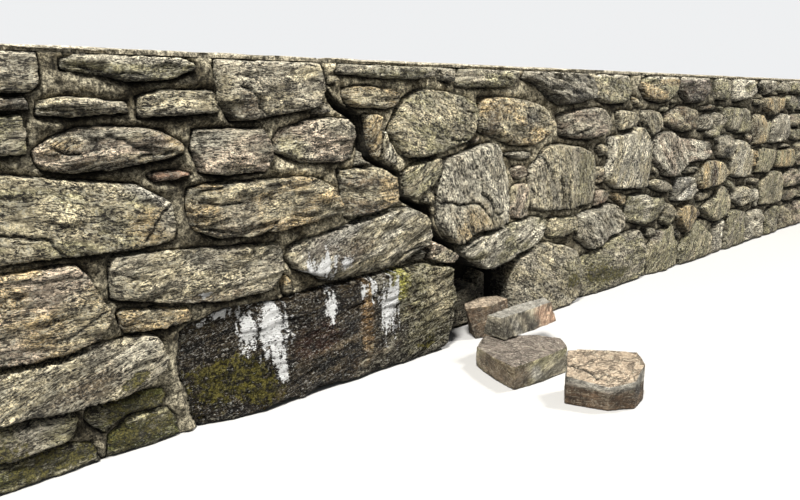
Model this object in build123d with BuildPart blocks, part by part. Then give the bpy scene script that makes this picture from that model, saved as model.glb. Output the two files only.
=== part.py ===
from build123d import *
import os

# A mortared fieldstone retaining wall with a stepped settlement crack and a lost pocket of stones.
# Lengths are in millimetres. The wall runs along X, faces -Y, and stands on the ground at Z = 0.
# The origin is at the middle of the footprint.

os.makedirs("parts", exist_ok=True)

# Driving dimensions
WALL_LENGTH = 8600
WALL_HEIGHT = 1520
WALL_THICKNESS = 500
CAP_THICKNESS = 25
FACE_DEPTH = 170
BACK_DEPTH = 150
JOINT_RECESS = 40
JOINT_WIDTH = 16
FACE_TAPER = 0.9
POCKET_DEPTH = 130
CRACK_DEPTH = 110
BACK_STONE_LENGTH = 620
BACK_COURSE_COUNT = 5
BACK_HEAD = 25
END_RECESS = 20
FALLEN_GAP = 0.3

# How far the heads of the face stones stand out from the mortar
LOW_HEAD = 30
MIDDLE_HEAD = 45
HIGH_HEAD = 60
BOLD_HEAD = 75

# How far the end stones run past the first and the last stone of the face
LEFT_END_COVER = 305
RIGHT_END_COVER = 260

CAP_UNDERSIDE = WALL_HEIGHT - CAP_THICKNESS
FRONT = WALL_THICKNESS / 2
BACK = -WALL_THICKNESS / 2
FRONT_MORTAR = FRONT - JOINT_RECESS
BACK_MORTAR = BACK + JOINT_RECESS
FRONT_TAIL = FRONT - FACE_DEPTH
BACK_TAIL = BACK + BACK_DEPTH


def along(x):
    """A surveyed distance from the datum, as a position along the wall."""
    return (x - LEFT_END) * LENGTH_SCALE - WALL_LENGTH / 2


def outline(points):
    """Surveyed corners of a stone, placed on the wall's face."""
    return [(along(x), min(z * HEIGHT_SCALE, CAP_UNDERSIDE)) for x, z in points]


def narrowed(corners, spread):
    """The same corners drawn in towards their middle."""
    middle_x = sum(x for x, z in corners) / len(corners)
    middle_z = sum(z for x, z in corners) / len(corners)
    return [(middle_x + (x - middle_x) * spread, middle_z + (z - middle_z) * spread) for x, z in corners]


def lay_sections(sections):
    """One stone as a ruled loft through outlines that stand at distances in front of the middle plane."""
    slices = []
    for distance, corners in sections:
        with BuildSketch(Plane.XZ.offset(distance)) as stone_slice:
            Polygon(*corners, align=None)
        slices.append(stone_slice.sketch)
    loft(slices, ruled=True)


def lay_face_stone(points, head):
    """A straight tail bedded in the front mortar, and a head that narrows to the weathered face."""
    corners = outline(points)
    face = narrowed(corners, FACE_TAPER)
    lay_sections([(FRONT_TAIL, corners), (FRONT_MORTAR, corners), (FRONT_MORTAR + head, face)])


def lay_through_stone(points, head):
    """A stone as deep as the wall, with a head on both faces."""
    corners = outline(points)
    face = narrowed(corners, FACE_TAPER)
    lay_sections(
        [
            (BACK_MORTAR - BACK_HEAD, face),
            (BACK_MORTAR, corners),
            (FRONT_MORTAR, corners),
            (FRONT_MORTAR + head, face),
        ]
    )


def lay_back_stone(corners):
    """A stone of the rear face, bedded in the back mortar."""
    face = narrowed(corners, FACE_TAPER)
    lay_sections([(BACK_MORTAR - BACK_HEAD, face), (BACK_MORTAR, corners), (BACK_TAIL, corners)])


def finish(build, name):
    """Label a finished piece and write it."""
    build.part.label = name
    export_step(build.part, f"parts/{name}.step")


# The face stones, course by course: each has the height of its head and its corners (x, z)
SINGLE_STONES = {
    "footing_boulder": (
        BOLD_HEAD,
        [(895, 0), (860, 170), (828, 300), (848, 425), (900, 455), (1060, 485), (1310, 470), (1560, 490),
         (2190, 500), (2290, 468), (2392, 452), (2416, 290), (2400, 170), (2355, 80), (2330, 0)],
    ),
    "slanted_slab": (
        HIGH_HEAD,
        [(1350, 660), (1372, 702), (1560, 735), (1850, 785), (1990, 805), (2090, 802), (2150, 775),
         (2190, 745), (2225, 640), (2210, 590), (2110, 562), (2035, 527), (1900, 520), (1560, 510),
         (1500, 555), (1385, 600)],
    ),
    "long_slab": (
        MIDDLE_HEAD,
        [(590, 620), (595, 740), (612, 778), (800, 773), (1000, 752), (1310, 727), (1335, 690),
         (1325, 610), (1280, 540), (1220, 520), (1050, 522), (900, 542), (640, 600)],
    ),
    "layered_slab": (
        HIGH_HEAD,
        [(910, 930), (922, 1000), (1000, 1012), (1400, 1008), (1510, 1002), (1570, 978), (1622, 940),
         (1640, 890), (1660, 825), (1500, 800), (1380, 790), (1200, 782), (1040, 785), (930, 840)],
    ),
    "ochre_slab": (
        MIDDLE_HEAD,
        [(110, 1090), (290, 1100), (500, 1065), (720, 1035), (790, 985), (840, 962), (865, 860),
         (850, 802), (700, 792), (450, 798), (105, 812)],
    ),
    "lens_slab": (
        MIDDLE_HEAD,
        [(384, 1172), (456, 1220), (538, 1243), (647, 1245), (777, 1236), (833, 1222), (922, 1168),
         (914, 1141), (833, 1117), (640, 1092), (475, 1090), (412, 1104), (388, 1134)],
    ),
    "grey_top_block": (
        HIGH_HEAD,
        [(1062, 1490), (1545, 1490), (1575, 1430), (1580, 1380), (1555, 1325), (1525, 1300),
         (1330, 1272), (1230, 1257), (1125, 1255), (1080, 1330)],
    ),
    "lens_capstone": (
        MIDDLE_HEAD,
        [(502, 1440), (500, 1472), (556, 1490), (925, 1490), (986, 1468), (980, 1446), (870, 1411),
         (728, 1402), (637, 1423)],
    ),
    "long_capstone": (
        BOLD_HEAD,
        [(1648, 1452), (1672, 1490), (2250, 1490), (2246, 1448), (2150, 1434), (2000, 1430), (1850, 1438)],
    ),
    "round_boulder": (
        HIGH_HEAD,
        [(1957, 1200), (2005, 1275), (2065, 1340), (2130, 1375), (2210, 1385), (2450, 1360), (2535, 1330),
         (2575, 1285), (2590, 1210), (2575, 1145), (2530, 1112), (2320, 1062), (2200, 1047), (2090, 1052),
         (2032, 1078)],
    ),
    "tall_pale_stone": (
        HIGH_HEAD,
        [(2350, 1035), (2510, 1062), (2690, 1100), (2745, 1095), (2785, 1065), (2855, 930), (2895, 860),
         (2910, 790), (2885, 650), (2850, 620), (2740, 600), (2590, 612), (2460, 548), (2395, 582),
         (2330, 655), (2300, 730), (2287, 890), (2320, 975)],
    ),
    "dark_layered_capstone": (
        BOLD_HEAD,
        [(2985, 1450), (3010, 1490), (3640, 1490), (3700, 1455), (3722, 1400), (3700, 1330), (3500, 1305),
         (3380, 1300), (3270, 1335), (3100, 1430)],
    ),
    "fissured_block": (
        HIGH_HEAD,
        [(3085, 690), (3200, 660), (3500, 640), (3785, 645), (3798, 730), (3790, 820), (3770, 900),
         (3730, 970), (3680, 1010), (3590, 1035), (3400, 1058), (3310, 1062), (3230, 1045), (3068, 905),
         (3100, 760)],
    ),
    "leaning_slab": (
        HIGH_HEAD,
        [(2455, 515), (2610, 588), (2700, 583), (2850, 603), (3000, 620), (3130, 636), (3220, 628),
         (3252, 600), (3200, 500), (3130, 465), (2900, 408), (2750, 378), (2690, 375), (2510, 478)],
    ),
    "base_boulder": (
        BOLD_HEAD,
        [(2935, 0), (2915, 140), (2920, 290), (2955, 390), (3080, 428), (3200, 454), (3300, 454),
         (3400, 418), (3510, 398), (3585, 345), (3640, 280), (3662, 210), (3650, 120), (3600, 0)],
    ),
    "tall_tan_stone": (
        HIGH_HEAD,
        [(3925, 1080), (4100, 1090), (4200, 1108), (4300, 1140), (4340, 1140), (4400, 1105), (4455, 1045),
         (4500, 970), (4520, 890), (4498, 690), (4290, 700), (4060, 722), (3945, 782), (3925, 860),
         (3955, 950)],
    ),
}
COURSES = {
    "left_top_stones": [
        (MIDDLE_HEAD, [(45, 1365), (60, 1490), (430, 1490), (432, 1440), (422, 1385), (395, 1364),
                       (300, 1358)]),
        (LOW_HEAD, [(1520, 1276), (1548, 1300), (1572, 1333), (1600, 1312), (1610, 1281), (1572, 1274)]),
    ],
    "left_upper_stones": [
        (LOW_HEAD, [(125, 1302), (125, 1344), (385, 1348), (390, 1308)]),
        (MIDDLE_HEAD, [(125, 1160), (125, 1290), (360, 1292), (372, 1240), (368, 1165)]),
        (MIDDLE_HEAD, [(409, 1289), (413, 1331), (496, 1346), (604, 1344), (708, 1331), (712, 1290),
                       (618, 1288), (520, 1280)]),
        (MIDDLE_HEAD, [(747, 1346), (845, 1375), (1052, 1370), (1061, 1288), (998, 1285), (845, 1275),
                       (755, 1277)]),
        (HIGH_HEAD, [(955, 1225), (1248, 1222), (1282, 1176), (1298, 1104), (1270, 1044), (1081, 1037),
                     (978, 1056), (946, 1158)]),
        (MIDDLE_HEAD, [(1312, 1165), (1345, 1212), (1510, 1250), (1610, 1260), (1700, 1250), (1745, 1222),
                       (1762, 1170), (1750, 1110), (1728, 1070), (1660, 1055), (1440, 1070), (1325, 1118)]),
    ],
    "left_middle_stones": [
        (LOW_HEAD, [(766, 1066), (837, 1072), (883, 1074), (943, 1056), (864, 1036), (790, 1040)]),
        (HIGH_HEAD, [(1655, 1018), (1888, 1018), (1990, 968), (2003, 900), (1995, 830), (1900, 810),
                     (1790, 798), (1686, 797), (1672, 910)]),
        (LOW_HEAD, [(1745, 1035), (1752, 1072), (1770, 1108), (1792, 1068), (1862, 1033)]),
    ],
    "left_lower_stones": [
        (HIGH_HEAD, [(15, 465), (5, 778), (250, 772), (480, 770), (505, 745), (545, 655), (578, 600),
                     (585, 558), (530, 485), (430, 457), (300, 453), (200, 462)]),
        (HIGH_HEAD, [(35, 268), (35, 440), (420, 438), (560, 462), (700, 457), (755, 435), (790, 345),
                     (778, 312), (700, 262), (600, 245), (420, 241), (180, 262)]),
        (LOW_HEAD, [(612, 558), (628, 570), (750, 551), (888, 526), (900, 490), (885, 470), (800, 464),
                    (690, 468), (630, 482)]),
        (LOW_HEAD, [(1326, 560), (1342, 583), (1370, 560), (1392, 500), (1352, 484), (1332, 500)]),
        (LOW_HEAD, [(2062, 522), (2125, 548), (2198, 570), (2200, 535), (2185, 517)]),
        (HIGH_HEAD, [(2216, 545), (2240, 598), (2270, 602), (2360, 552), (2434, 514), (2418, 480),
                     (2385, 468), (2290, 486), (2222, 512)]),
    ],
    "left_base_stones": [
        (MIDDLE_HEAD, [(75, 118), (75, 252), (180, 246), (300, 232), (428, 224), (440, 200),
                       (418, 140), (385, 122)]),
        (LOW_HEAD, [(75, 0), (75, 102), (390, 106), (470, 88), (505, 0)]),
        (LOW_HEAD, [(455, 180), (472, 214), (590, 226), (760, 222), (772, 190), (745, 152),
                    (600, 158), (515, 112)]),
        (LOW_HEAD, [(522, 0), (535, 95), (620, 140), (770, 134), (800, 90), (812, 0)]),
    ],
    "crack_side_stones": [
        (LOW_HEAD, [(1608, 1437), (1646, 1441), (1650, 1408), (1614, 1400)]),
        (MIDDLE_HEAD, [(1812, 1265), (1900, 1268), (1903, 1240), (1893, 1095), (1880, 1062), (1858, 1072),
                       (1838, 1120), (1822, 1180)]),
        (LOW_HEAD, [(1922, 1185), (1942, 1188), (1968, 1130), (2003, 1055), (2018, 1014), (1975, 1022),
                    (1908, 1054)]),
        (MIDDLE_HEAD, [(2064, 985), (2100, 1010), (2200, 1028), (2300, 1040), (2312, 1015), (2304, 970),
                       (2268, 912), (2218, 888), (2128, 840), (2078, 862)]),
        (LOW_HEAD, [(2184, 822), (2222, 866), (2262, 880), (2276, 815), (2245, 803)]),
        (LOW_HEAD, [(2542, 1092), (2598, 1142), (2612, 1108), (2570, 1094)]),
    ],
    "right_top_stones": [
        (MIDDLE_HEAD, [(2275, 1490), (2402, 1490), (2403, 1420), (2300, 1432)]),
        (HIGH_HEAD, [(2432, 1405), (2445, 1490), (2900, 1490), (2915, 1440), (2880, 1402), (2500, 1393)]),
        (MIDDLE_HEAD, [(3738, 1345), (3750, 1450), (3790, 1490), (4180, 1490), (4208, 1420), (4190, 1350),
                       (4140, 1308), (4000, 1300), (3850, 1308)]),
        (MIDDLE_HEAD, [(4308, 1415), (4345, 1470), (4480, 1490), (4850, 1490), (4882, 1440), (4840, 1365),
                       (4750, 1320), (4640, 1304), (4400, 1332)]),
        (HIGH_HEAD, [(4908, 1470), (4930, 1490), (5410, 1490), (5440, 1440), (5425, 1395), (5250, 1305),
                     (5120, 1298), (5000, 1305), (4902, 1390)]),
        (MIDDLE_HEAD, [(5492, 1470), (5510, 1490), (5785, 1490), (5806, 1450), (5790, 1318), (5535, 1325)]),
        (HIGH_HEAD, [(5852, 1475), (5870, 1490), (6270, 1490), (6302, 1440), (6300, 1370), (6120, 1322),
                     (5940, 1305), (5880, 1312)]),
        (MIDDLE_HEAD, [(6415, 1455), (6470, 1490), (6790, 1490), (6830, 1450), (6800, 1405), (6600, 1360),
                       (6545, 1365)]),
        (MIDDLE_HEAD, [(6868, 1400), (6900, 1440), (6990, 1490), (7120, 1490), (7155, 1388), (6940, 1376)]),
        (HIGH_HEAD, [(7175, 1390), (7185, 1490), (7520, 1490), (7535, 1420), (7500, 1378), (7330, 1374)]),
        (MIDDLE_HEAD, [(7560, 1400), (7555, 1490), (7980, 1490), (7980, 1374), (7700, 1372)]),
    ],
    "right_upper_stones": [
        (MIDDLE_HEAD, [(1692, 1340), (1694, 1390), (1780, 1397), (1900, 1393), (2003, 1380), (2028, 1345),
                       (2010, 1302), (1950, 1292), (1740, 1302)]),
        (HIGH_HEAD, [(2610, 1345), (2850, 1345), (3000, 1330), (3110, 1312), (3220, 1268), (3275, 1205),
                     (3298, 1155), (3200, 1092), (3110, 1068), (3010, 1065), (2900, 1078), (2790, 1115),
                     (2700, 1140), (2612, 1160)]),
        (HIGH_HEAD, [(3345, 1230), (3400, 1252), (3500, 1268), (3720, 1276), (3830, 1274), (3890, 1240),
                     (3972, 1145), (3820, 1092), (3690, 1078), (3580, 1084), (3390, 1110)]),
        (MIDDLE_HEAD, [(4005, 1248), (4110, 1258), (4250, 1246), (4285, 1212), (4305, 1182), (4250, 1142),
                       (4070, 1114)]),
        (LOW_HEAD, [(4212, 1340), (4250, 1346), (4300, 1322), (4370, 1275), (4270, 1272)]),
        (MIDDLE_HEAD, [(4345, 1200), (4360, 1250), (4500, 1254), (4590, 1235), (4650, 1190), (4664, 1150),
                       (4640, 1110), (4510, 1062)]),
        (LOW_HEAD, [(4612, 1242), (4630, 1272), (4740, 1275), (4765, 1257), (4720, 1236)]),
        (LOW_HEAD, [(4778, 1297), (4835, 1340), (4852, 1297)]),
        (HIGH_HEAD, [(4690, 1160), (4705, 1208), (4850, 1260), (4900, 1278), (5010, 1270), (5110, 1253),
                     (5200, 1220), (5280, 1155), (5240, 1114), (5070, 1078), (4990, 1082), (4800, 1120)]),
        (LOW_HEAD, [(5258, 1262), (5380, 1272), (5500, 1284), (5565, 1272), (5582, 1247), (5400, 1238),
                    (5280, 1242)]),
        (MIDDLE_HEAD, [(5262, 1094), (5297, 1150), (5300, 1190), (5390, 1212), (5452, 1196), (5466, 1140),
                       (5440, 1090), (5350, 1077)]),
        (HIGH_HEAD, [(5425, 1056), (5482, 1085), (5487, 1190), (5520, 1212), (5600, 1220), (5670, 1190),
                     (5702, 1145), (5620, 1055), (5585, 1012), (5415, 1022)]),
        (LOW_HEAD, [(5605, 1272), (5672, 1272), (5690, 1242), (5650, 1230)]),
        (MIDDLE_HEAD, [(5722, 1130), (5714, 1200), (5728, 1243), (5830, 1263), (6100, 1250), (6200, 1252),
                       (6255, 1213), (6300, 1155), (6306, 1095), (6280, 1047), (6190, 1030), (6050, 1032),
                       (5830, 1074)]),
        (MIDDLE_HEAD, [(6320, 1277), (6335, 1323), (6430, 1320), (6510, 1316), (6520, 1280), (6440, 1270)]),
        (HIGH_HEAD, [(6345, 1170), (6380, 1192), (6460, 1195), (6550, 1172), (6630, 1120), (6688, 1050),
                     (6688, 960), (6660, 920), (6402, 912), (6385, 990)]),
        (HIGH_HEAD, [(6540, 1290), (6560, 1335), (6750, 1348), (6950, 1342), (7020, 1320), (7030, 1250),
                     (7000, 1212), (6900, 1190), (6790, 1170), (6700, 1190), (6600, 1228)]),
        (MIDDLE_HEAD, [(7045, 1345), (7140, 1358), (7290, 1356), (7360, 1325), (7400, 1275), (7385, 1228),
                       (7240, 1212), (7130, 1262), (7060, 1268)]),
        (MIDDLE_HEAD, [(7418, 1215), (7425, 1320), (7460, 1350), (8030, 1350), (8030, 1208)]),
    ],
    "right_middle_stones": [
        (LOW_HEAD, [(2822, 1028), (2900, 1036), (3010, 1038), (3105, 1028), (3080, 994), (3000, 987)]),
        (LOW_HEAD, [(2915, 930), (2940, 950), (3000, 954), (3052, 930), (3048, 887), (2990, 874),
                    (2935, 887)]),
        (MIDDLE_HEAD, [(2928, 830), (2970, 842), (3045, 845), (3078, 800), (3072, 735), (3050, 690),
                       (3045, 645), (3000, 637), (2940, 645), (2918, 690)]),
        (LOW_HEAD, [(3795, 1010), (3850, 1040), (3922, 1028), (3932, 990), (3912, 960), (3850, 962)]),
        (LOW_HEAD, [(3815, 885), (3895, 890), (3908, 830), (3905, 778), (3860, 768), (3815, 783)]),
        (HIGH_HEAD, [(4537, 1033), (4650, 1086), (4790, 1095), (4860, 1066), (4940, 1040), (5040, 1028),
                     (5080, 960), (5082, 870), (5060, 805), (4990, 758), (4910, 735), (4830, 747),
                     (4740, 767), (4680, 830), (4542, 900)]),
        (LOW_HEAD, [(4545, 843), (4600, 835), (4652, 808), (4648, 784), (4560, 790)]),
        (MIDDLE_HEAD, [(5102, 1018), (5180, 1028), (5290, 1003), (5400, 995), (5510, 985), (5565, 955),
                       (5586, 905), (5545, 857), (5350, 834), (5112, 832)]),
        (HIGH_HEAD, [(5610, 985), (5640, 1015), (5750, 1028), (5850, 1028), (5925, 1000), (5956, 945),
                     (5946, 885), (5888, 824), (5700, 840), (5657, 875)]),
        (HIGH_HEAD, [(5976, 955), (6060, 978), (6160, 968), (6260, 925), (6345, 885), (6382, 810),
                     (6390, 720), (6385, 645), (6180, 630), (6060, 650), (5980, 667), (5940, 725),
                     (5912, 790), (5924, 840), (5970, 878)]),
        (LOW_HEAD, [(6217, 1003), (6340, 1025), (6366, 980), (6365, 922), (6300, 942)]),
        (MIDDLE_HEAD, [(6410, 870), (6488, 878), (6482, 705), (6420, 722)]),
        (HIGH_HEAD, [(6508, 880), (6620, 886), (6780, 862), (6940, 850), (6985, 810), (6972, 745),
                     (6915, 667), (6830, 632), (6660, 645), (6512, 652), (6500, 770)]),
        (LOW_HEAD, [(6708, 1125), (6772, 1136), (6762, 1000), (6788, 917), (6706, 912)]),
        (HIGH_HEAD, [(6792, 1140), (6880, 1162), (6990, 1188), (7110, 1188), (7190, 1160), (7220, 1090),
                     (7220, 1000), (7190, 937), (7120, 914), (6900, 905), (6817, 917), (6782, 1000)]),
        (MIDDLE_HEAD, [(7242, 1090), (7245, 1172), (7400, 1182), (7600, 1180), (7622, 1100), (7590, 1045),
                       (7350, 1050), (7260, 1065)]),
        (MIDDLE_HEAD, [(7245, 1005), (7260, 1035), (7560, 1028), (7600, 960), (7588, 908), (7360, 930)]),
        (LOW_HEAD, [(7040, 868), (7110, 890), (7250, 890), (7400, 864), (7422, 852), (7120, 852)]),
        (HIGH_HEAD, [(7000, 740), (7020, 825), (7200, 838), (7400, 836), (7480, 790), (7490, 740),
                     (7488, 670), (7440, 652), (7300, 648), (7040, 665)]),
        (HIGH_HEAD, [(7642, 1178), (7955, 1182), (7955, 912), (7625, 908), (7618, 1000)]),
        (HIGH_HEAD, [(7512, 690), (7508, 800), (7475, 866), (7560, 890), (8030, 890), (8030, 645),
                     (7620, 645)]),
    ],
    "right_lower_stones": [
        (MIDDLE_HEAD, [(3275, 595), (3320, 608), (3450, 590), (3582, 585), (3598, 540), (3588, 480),
                       (3450, 458), (3340, 472), (3285, 492)]),
        (HIGH_HEAD, [(3622, 585), (3720, 602), (3900, 600), (3990, 630), (4060, 613), (4130, 570),
                     (4190, 525), (4200, 460), (4188, 402), (3990, 390), (3930, 342), (3810, 328),
                     (3740, 354), (3605, 440)]),
        (LOW_HEAD, [(3835, 725), (3900, 730), (3968, 714), (3982, 665), (3958, 640), (3825, 620)]),
        (LOW_HEAD, [(4008, 680), (4060, 696), (4196, 674), (4204, 635), (4188, 590), (4150, 592),
                    (4080, 638)]),
        (MIDDLE_HEAD, [(4222, 655), (4400, 652), (4510, 640), (4590, 605), (4700, 596), (4782, 596),
                       (4785, 540), (4757, 480), (4700, 430), (4600, 417), (4490, 412), (4225, 480)]),
        (MIDDLE_HEAD, [(4520, 705), (4542, 736), (4650, 740), (4760, 725), (4830, 698), (4888, 655),
                       (4878, 630), (4760, 630)]),
        (LOW_HEAD, [(5092, 782), (5120, 800), (5250, 802), (5335, 795), (5347, 762), (5300, 742),
                    (5098, 747)]),
        (HIGH_HEAD, [(4914, 640), (4932, 703), (5010, 720), (5180, 720), (5280, 700), (5303, 650),
                     (5326, 590), (5200, 540), (5090, 530), (4960, 542), (4894, 562)]),
        (HIGH_HEAD, [(5370, 770), (5405, 823), (5520, 828), (5720, 813), (5800, 783), (5850, 738),
                     (5912, 690), (5800, 630), (5700, 600), (5440, 592), (5352, 640)]),
        (LOW_HEAD, [(5337, 545), (5440, 566), (5560, 570), (5680, 568), (5674, 530), (5580, 500),
                    (5400, 492)]),
        (HIGH_HEAD, [(5457, 435), (5580, 478), (5692, 508), (5707, 573), (5800, 600), (5870, 583),
                     (5945, 543), (6000, 495), (6010, 430), (5990, 387), (5940, 337), (5850, 302),
                     (5740, 280), (5560, 347)]),
        (MIDDLE_HEAD, [(5872, 612), (5900, 638), (5990, 630), (6080, 600), (6085, 534), (6030, 518),
                       (5962, 562)]),
        (HIGH_HEAD, [(6032, 450), (6080, 503), (6150, 551), (6260, 553), (6390, 528), (6490, 503),
                     (6538, 455), (6528, 376), (6230, 364), (6160, 402)]),
        (LOW_HEAD, [(6367, 605), (6480, 610), (6600, 598), (6658, 580), (6655, 532), (6580, 537),
                    (6380, 572)]),
        (LOW_HEAD, [(6562, 455), (6590, 498), (6650, 496), (6672, 400), (6690, 330), (6640, 305),
                    (6575, 335)]),
        (HIGH_HEAD, [(6688, 575), (6780, 596), (6900, 626), (7000, 638), (7075, 632), (7125, 600),
                     (7170, 540), (7188, 470), (7203, 370), (7185, 322), (7080, 310), (6840, 314),
                     (6742, 324), (6697, 400), (6674, 490)]),
        (HIGH_HEAD, [(7198, 560), (7300, 615), (7440, 625), (7560, 625), (7685, 600), (7690, 480),
                     (7600, 440), (7300, 445), (7214, 475)]),
        (MIDDLE_HEAD, [(7235, 400), (7300, 425), (7600, 418), (7718, 400), (7722, 330), (7600, 300),
                       (7450, 290), (7250, 330)]),
        (MIDDLE_HEAD, [(7708, 622), (8040, 622), (8040, 440), (7712, 436)]),
        (MIDDLE_HEAD, [(7740, 422), (7955, 424), (7955, 288), (7745, 292)]),
        (MIDDLE_HEAD, [(4808, 533), (4850, 543), (4930, 518), (4988, 493), (4992, 430), (4950, 390),
                       (4860, 357), (4745, 405)]),
        (HIGH_HEAD, [(5015, 488), (5110, 498), (5200, 495), (5300, 460), (5425, 395), (5320, 352),
                     (5190, 250), (5130, 290), (5022, 405)]),
    ],
    "right_base_stones": [
        (HIGH_HEAD, [(3682, 0), (3672, 180), (3680, 285), (3800, 306), (3900, 315), (3960, 343),
                     (4010, 370),
                     (4190, 383), (4430, 393), (4465, 345), (4505, 285), (4548, 205), (4543, 100),
                     (4525, 0)]),
        (LOW_HEAD, [(4555, 383), (4640, 376), (4690, 348), (4680, 312), (4614, 292), (4568, 320)]),
        (HIGH_HEAD, [(4610, 0), (4575, 120), (4592, 222), (4650, 268), (4705, 295), (4720, 335),
                     (4860, 333), (4935, 368), (4983, 315), (5013, 245), (5073, 195), (5070, 0)]),
        (LOW_HEAD, [(5030, 280), (5085, 293), (5106, 250), (5090, 214)]),
        (HIGH_HEAD, [(5110, 0), (5120, 130), (5155, 190), (5210, 225), (5330, 328), (5390, 343),
                     (5440, 320),
                     (5610, 215), (5688, 150), (5690, 0)]),
        (MIDDLE_HEAD, [(5715, 0), (5714, 150), (5724, 250), (5850, 280), (5920, 300), (5932, 200),
                       (5925, 0)]),
        (HIGH_HEAD, [(5955, 0), (5952, 200), (5960, 318), (6020, 350), (6240, 340), (6320, 310),
                     (6370, 255),
                     (6394, 190), (6388, 0)]),
        (MIDDLE_HEAD, [(6412, 0), (6418, 200), (6452, 288), (6560, 296), (6740, 288), (6830, 262),
                       (6868, 150),
                       (6862, 0)]),
        (MIDDLE_HEAD, [(6890, 0), (6895, 228), (6960, 278), (7090, 288), (7200, 272), (7282, 255),
                       (7288, 0)]),
        (LOW_HEAD, [(7312, 0), (7316, 245), (7420, 262), (7560, 272), (7636, 250), (7638, 0)]),
        (MIDDLE_HEAD, [(7662, 0), (7664, 250), (7730, 268), (7970, 268), (7970, 0)]),
    ],
}
FACE_STONES = list(SINGLE_STONES.values())
for course in COURSES.values():
    FACE_STONES.extend(course)

# The two edges of the crack, from the capping down to the pocket
CRACK_LEFT = [(1562, 1520), (1581, 1460), (1586, 1390), (1600, 1335), (1640, 1290), (1700, 1262),
              (1750, 1228), (1768, 1180), (1765, 1120), (1800, 1064), (1870, 1028), (1960, 990), (2008, 950),
              (2012, 860), (2060, 826), (2145, 788), (2195, 752), (2225, 690), (2234, 630), (2265, 606),
              (2360, 556), (2436, 514)]
CRACK_RIGHT = [(1572, 1520), (1594, 1460), (1604, 1395), (1640, 1345), (1690, 1310), (1750, 1285),
               (1803, 1262), (1808, 1225), (1818, 1170), (1832, 1110), (1855, 1068), (1900, 1045),
               (1965, 1015), (2045, 985), (2056, 900), (2066, 858), (2120, 836), (2170, 812), (2240, 793),
               (2262, 750), (2282, 680), (2300, 645), (2355, 600), (2410, 565), (2450, 535)]

# The pocket where stones have fallen out, below the crack and down to the ground
POCKET_LEFT = [(2420, 478), (2394, 452), (2416, 290), (2400, 170), (2355, 80), (2330, 0)]
POCKET_RIGHT = [(2455, 512), (2510, 476), (2690, 374), (2750, 376), (2900, 407), (2955, 390), (2920, 290),
                (2915, 140), (2935, 0)]

# The surveyed corners fill the whole face, so the reach of the survey follows from them
SURVEYED_X = [x for head, points in FACE_STONES for x, z in points]
LEFT_END = min(SURVEYED_X) - LEFT_END_COVER
RIGHT_END = max(SURVEYED_X) + RIGHT_END_COVER
SURVEY_HEIGHT = max(z for x, z in CRACK_LEFT)
LENGTH_SCALE = WALL_LENGTH / (RIGHT_END - LEFT_END)
HEIGHT_SCALE = WALL_HEIGHT / SURVEY_HEIGHT

# Beds between the quoins at each end, and where each quoin's inner end comes
LEFT_QUOIN_BEDS = [0, 258, 452, 790, 1108, 1352, 1490]
LEFT_QUOIN_ENDS = [60, 20, -10, 90, 110, 30]
RIGHT_QUOIN_BEDS = [0, 278, 432, 632, 897, 1194, 1362, 1490]
RIGHT_QUOIN_ENDS = [7985, 7970, 8056, 8046, 7970, 8046, 7996]


def quoin_outlines(beds, inner_ends, wall_end):
    """Corners of the through stones stacked at one end of the wall."""
    half_joint = JOINT_WIDTH / 2
    quoins = []
    for bottom, top, inner in zip(beds[:-1], beds[1:], inner_ends):
        low = bottom + half_joint if bottom > 0 else 0
        high = top - half_joint if top < beds[-1] else top
        corners = [(wall_end, low), (inner, low), (inner, high), (wall_end, high)]
        quoins.append(corners if wall_end < inner else corners[::-1])
    return quoins


LEFT_QUOINS = quoin_outlines(LEFT_QUOIN_BEDS, LEFT_QUOIN_ENDS, LEFT_END)
RIGHT_QUOINS = quoin_outlines(RIGHT_QUOIN_BEDS, RIGHT_QUOIN_ENDS, RIGHT_END)

LEFT_MORTAR_OUTLINE = (
    [(LEFT_END + END_RECESS, 0), (LEFT_END + END_RECESS, SURVEY_HEIGHT)] + CRACK_LEFT + POCKET_LEFT
)
RIGHT_MORTAR_OUTLINE = (
    [(RIGHT_END - END_RECESS, 0), (RIGHT_END - END_RECESS, SURVEY_HEIGHT)] + CRACK_RIGHT + POCKET_RIGHT
)

# The rear face, towards the bank, is coursed between the two stacks of quoins
BACK_START = max(LEFT_QUOIN_ENDS) + JOINT_WIDTH
BACK_END = min(RIGHT_QUOIN_ENDS) - JOINT_WIDTH
STONE_TOP = LEFT_QUOIN_BEDS[-1]
FIRST_CLIP = 25
CLIP_STEP = 15


def back_course_outlines(course_number):
    """Corner-clipped stones of one rear course, with joints that miss those of the course below."""
    half_joint = JOINT_WIDTH / 2
    course_height = STONE_TOP / BACK_COURSE_COUNT
    low = course_number * course_height + (half_joint if course_number else 0)
    high = (course_number + 1) * course_height - half_joint
    stone_count = round((BACK_END - BACK_START) / BACK_STONE_LENGTH)
    length = (BACK_END - BACK_START) / stone_count
    shift = length / 2 if course_number % 2 else 0
    joints = [BACK_START + shift + length * step for step in range(stone_count + 1) if shift + length * step]
    joints = [BACK_START] + [joint for joint in joints if BACK_START < joint < BACK_END] + [BACK_END]
    stones = []
    for number, (start, end) in enumerate(zip(joints[:-1], joints[1:])):
        left = start + half_joint
        right = end - half_joint
        clip = FIRST_CLIP + CLIP_STEP * ((number + course_number) % 3)
        stones.append(
            [(left, low + clip), (left + clip, low), (right - 2 * clip, low), (right, low + clip),
             (right, high - 2 * clip), (right - clip, high), (left + 2 * clip, high), (left, high - clip)]
        )
    return stones


BACK_COURSES = [back_course_outlines(number) for number in range(BACK_COURSE_COUNT)]

# Single face stones, each a piece of its own
for name, (head, points) in SINGLE_STONES.items():
    with BuildPart() as single_stone:
        lay_face_stone(points, head)
    finish(single_stone, name)

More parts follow.
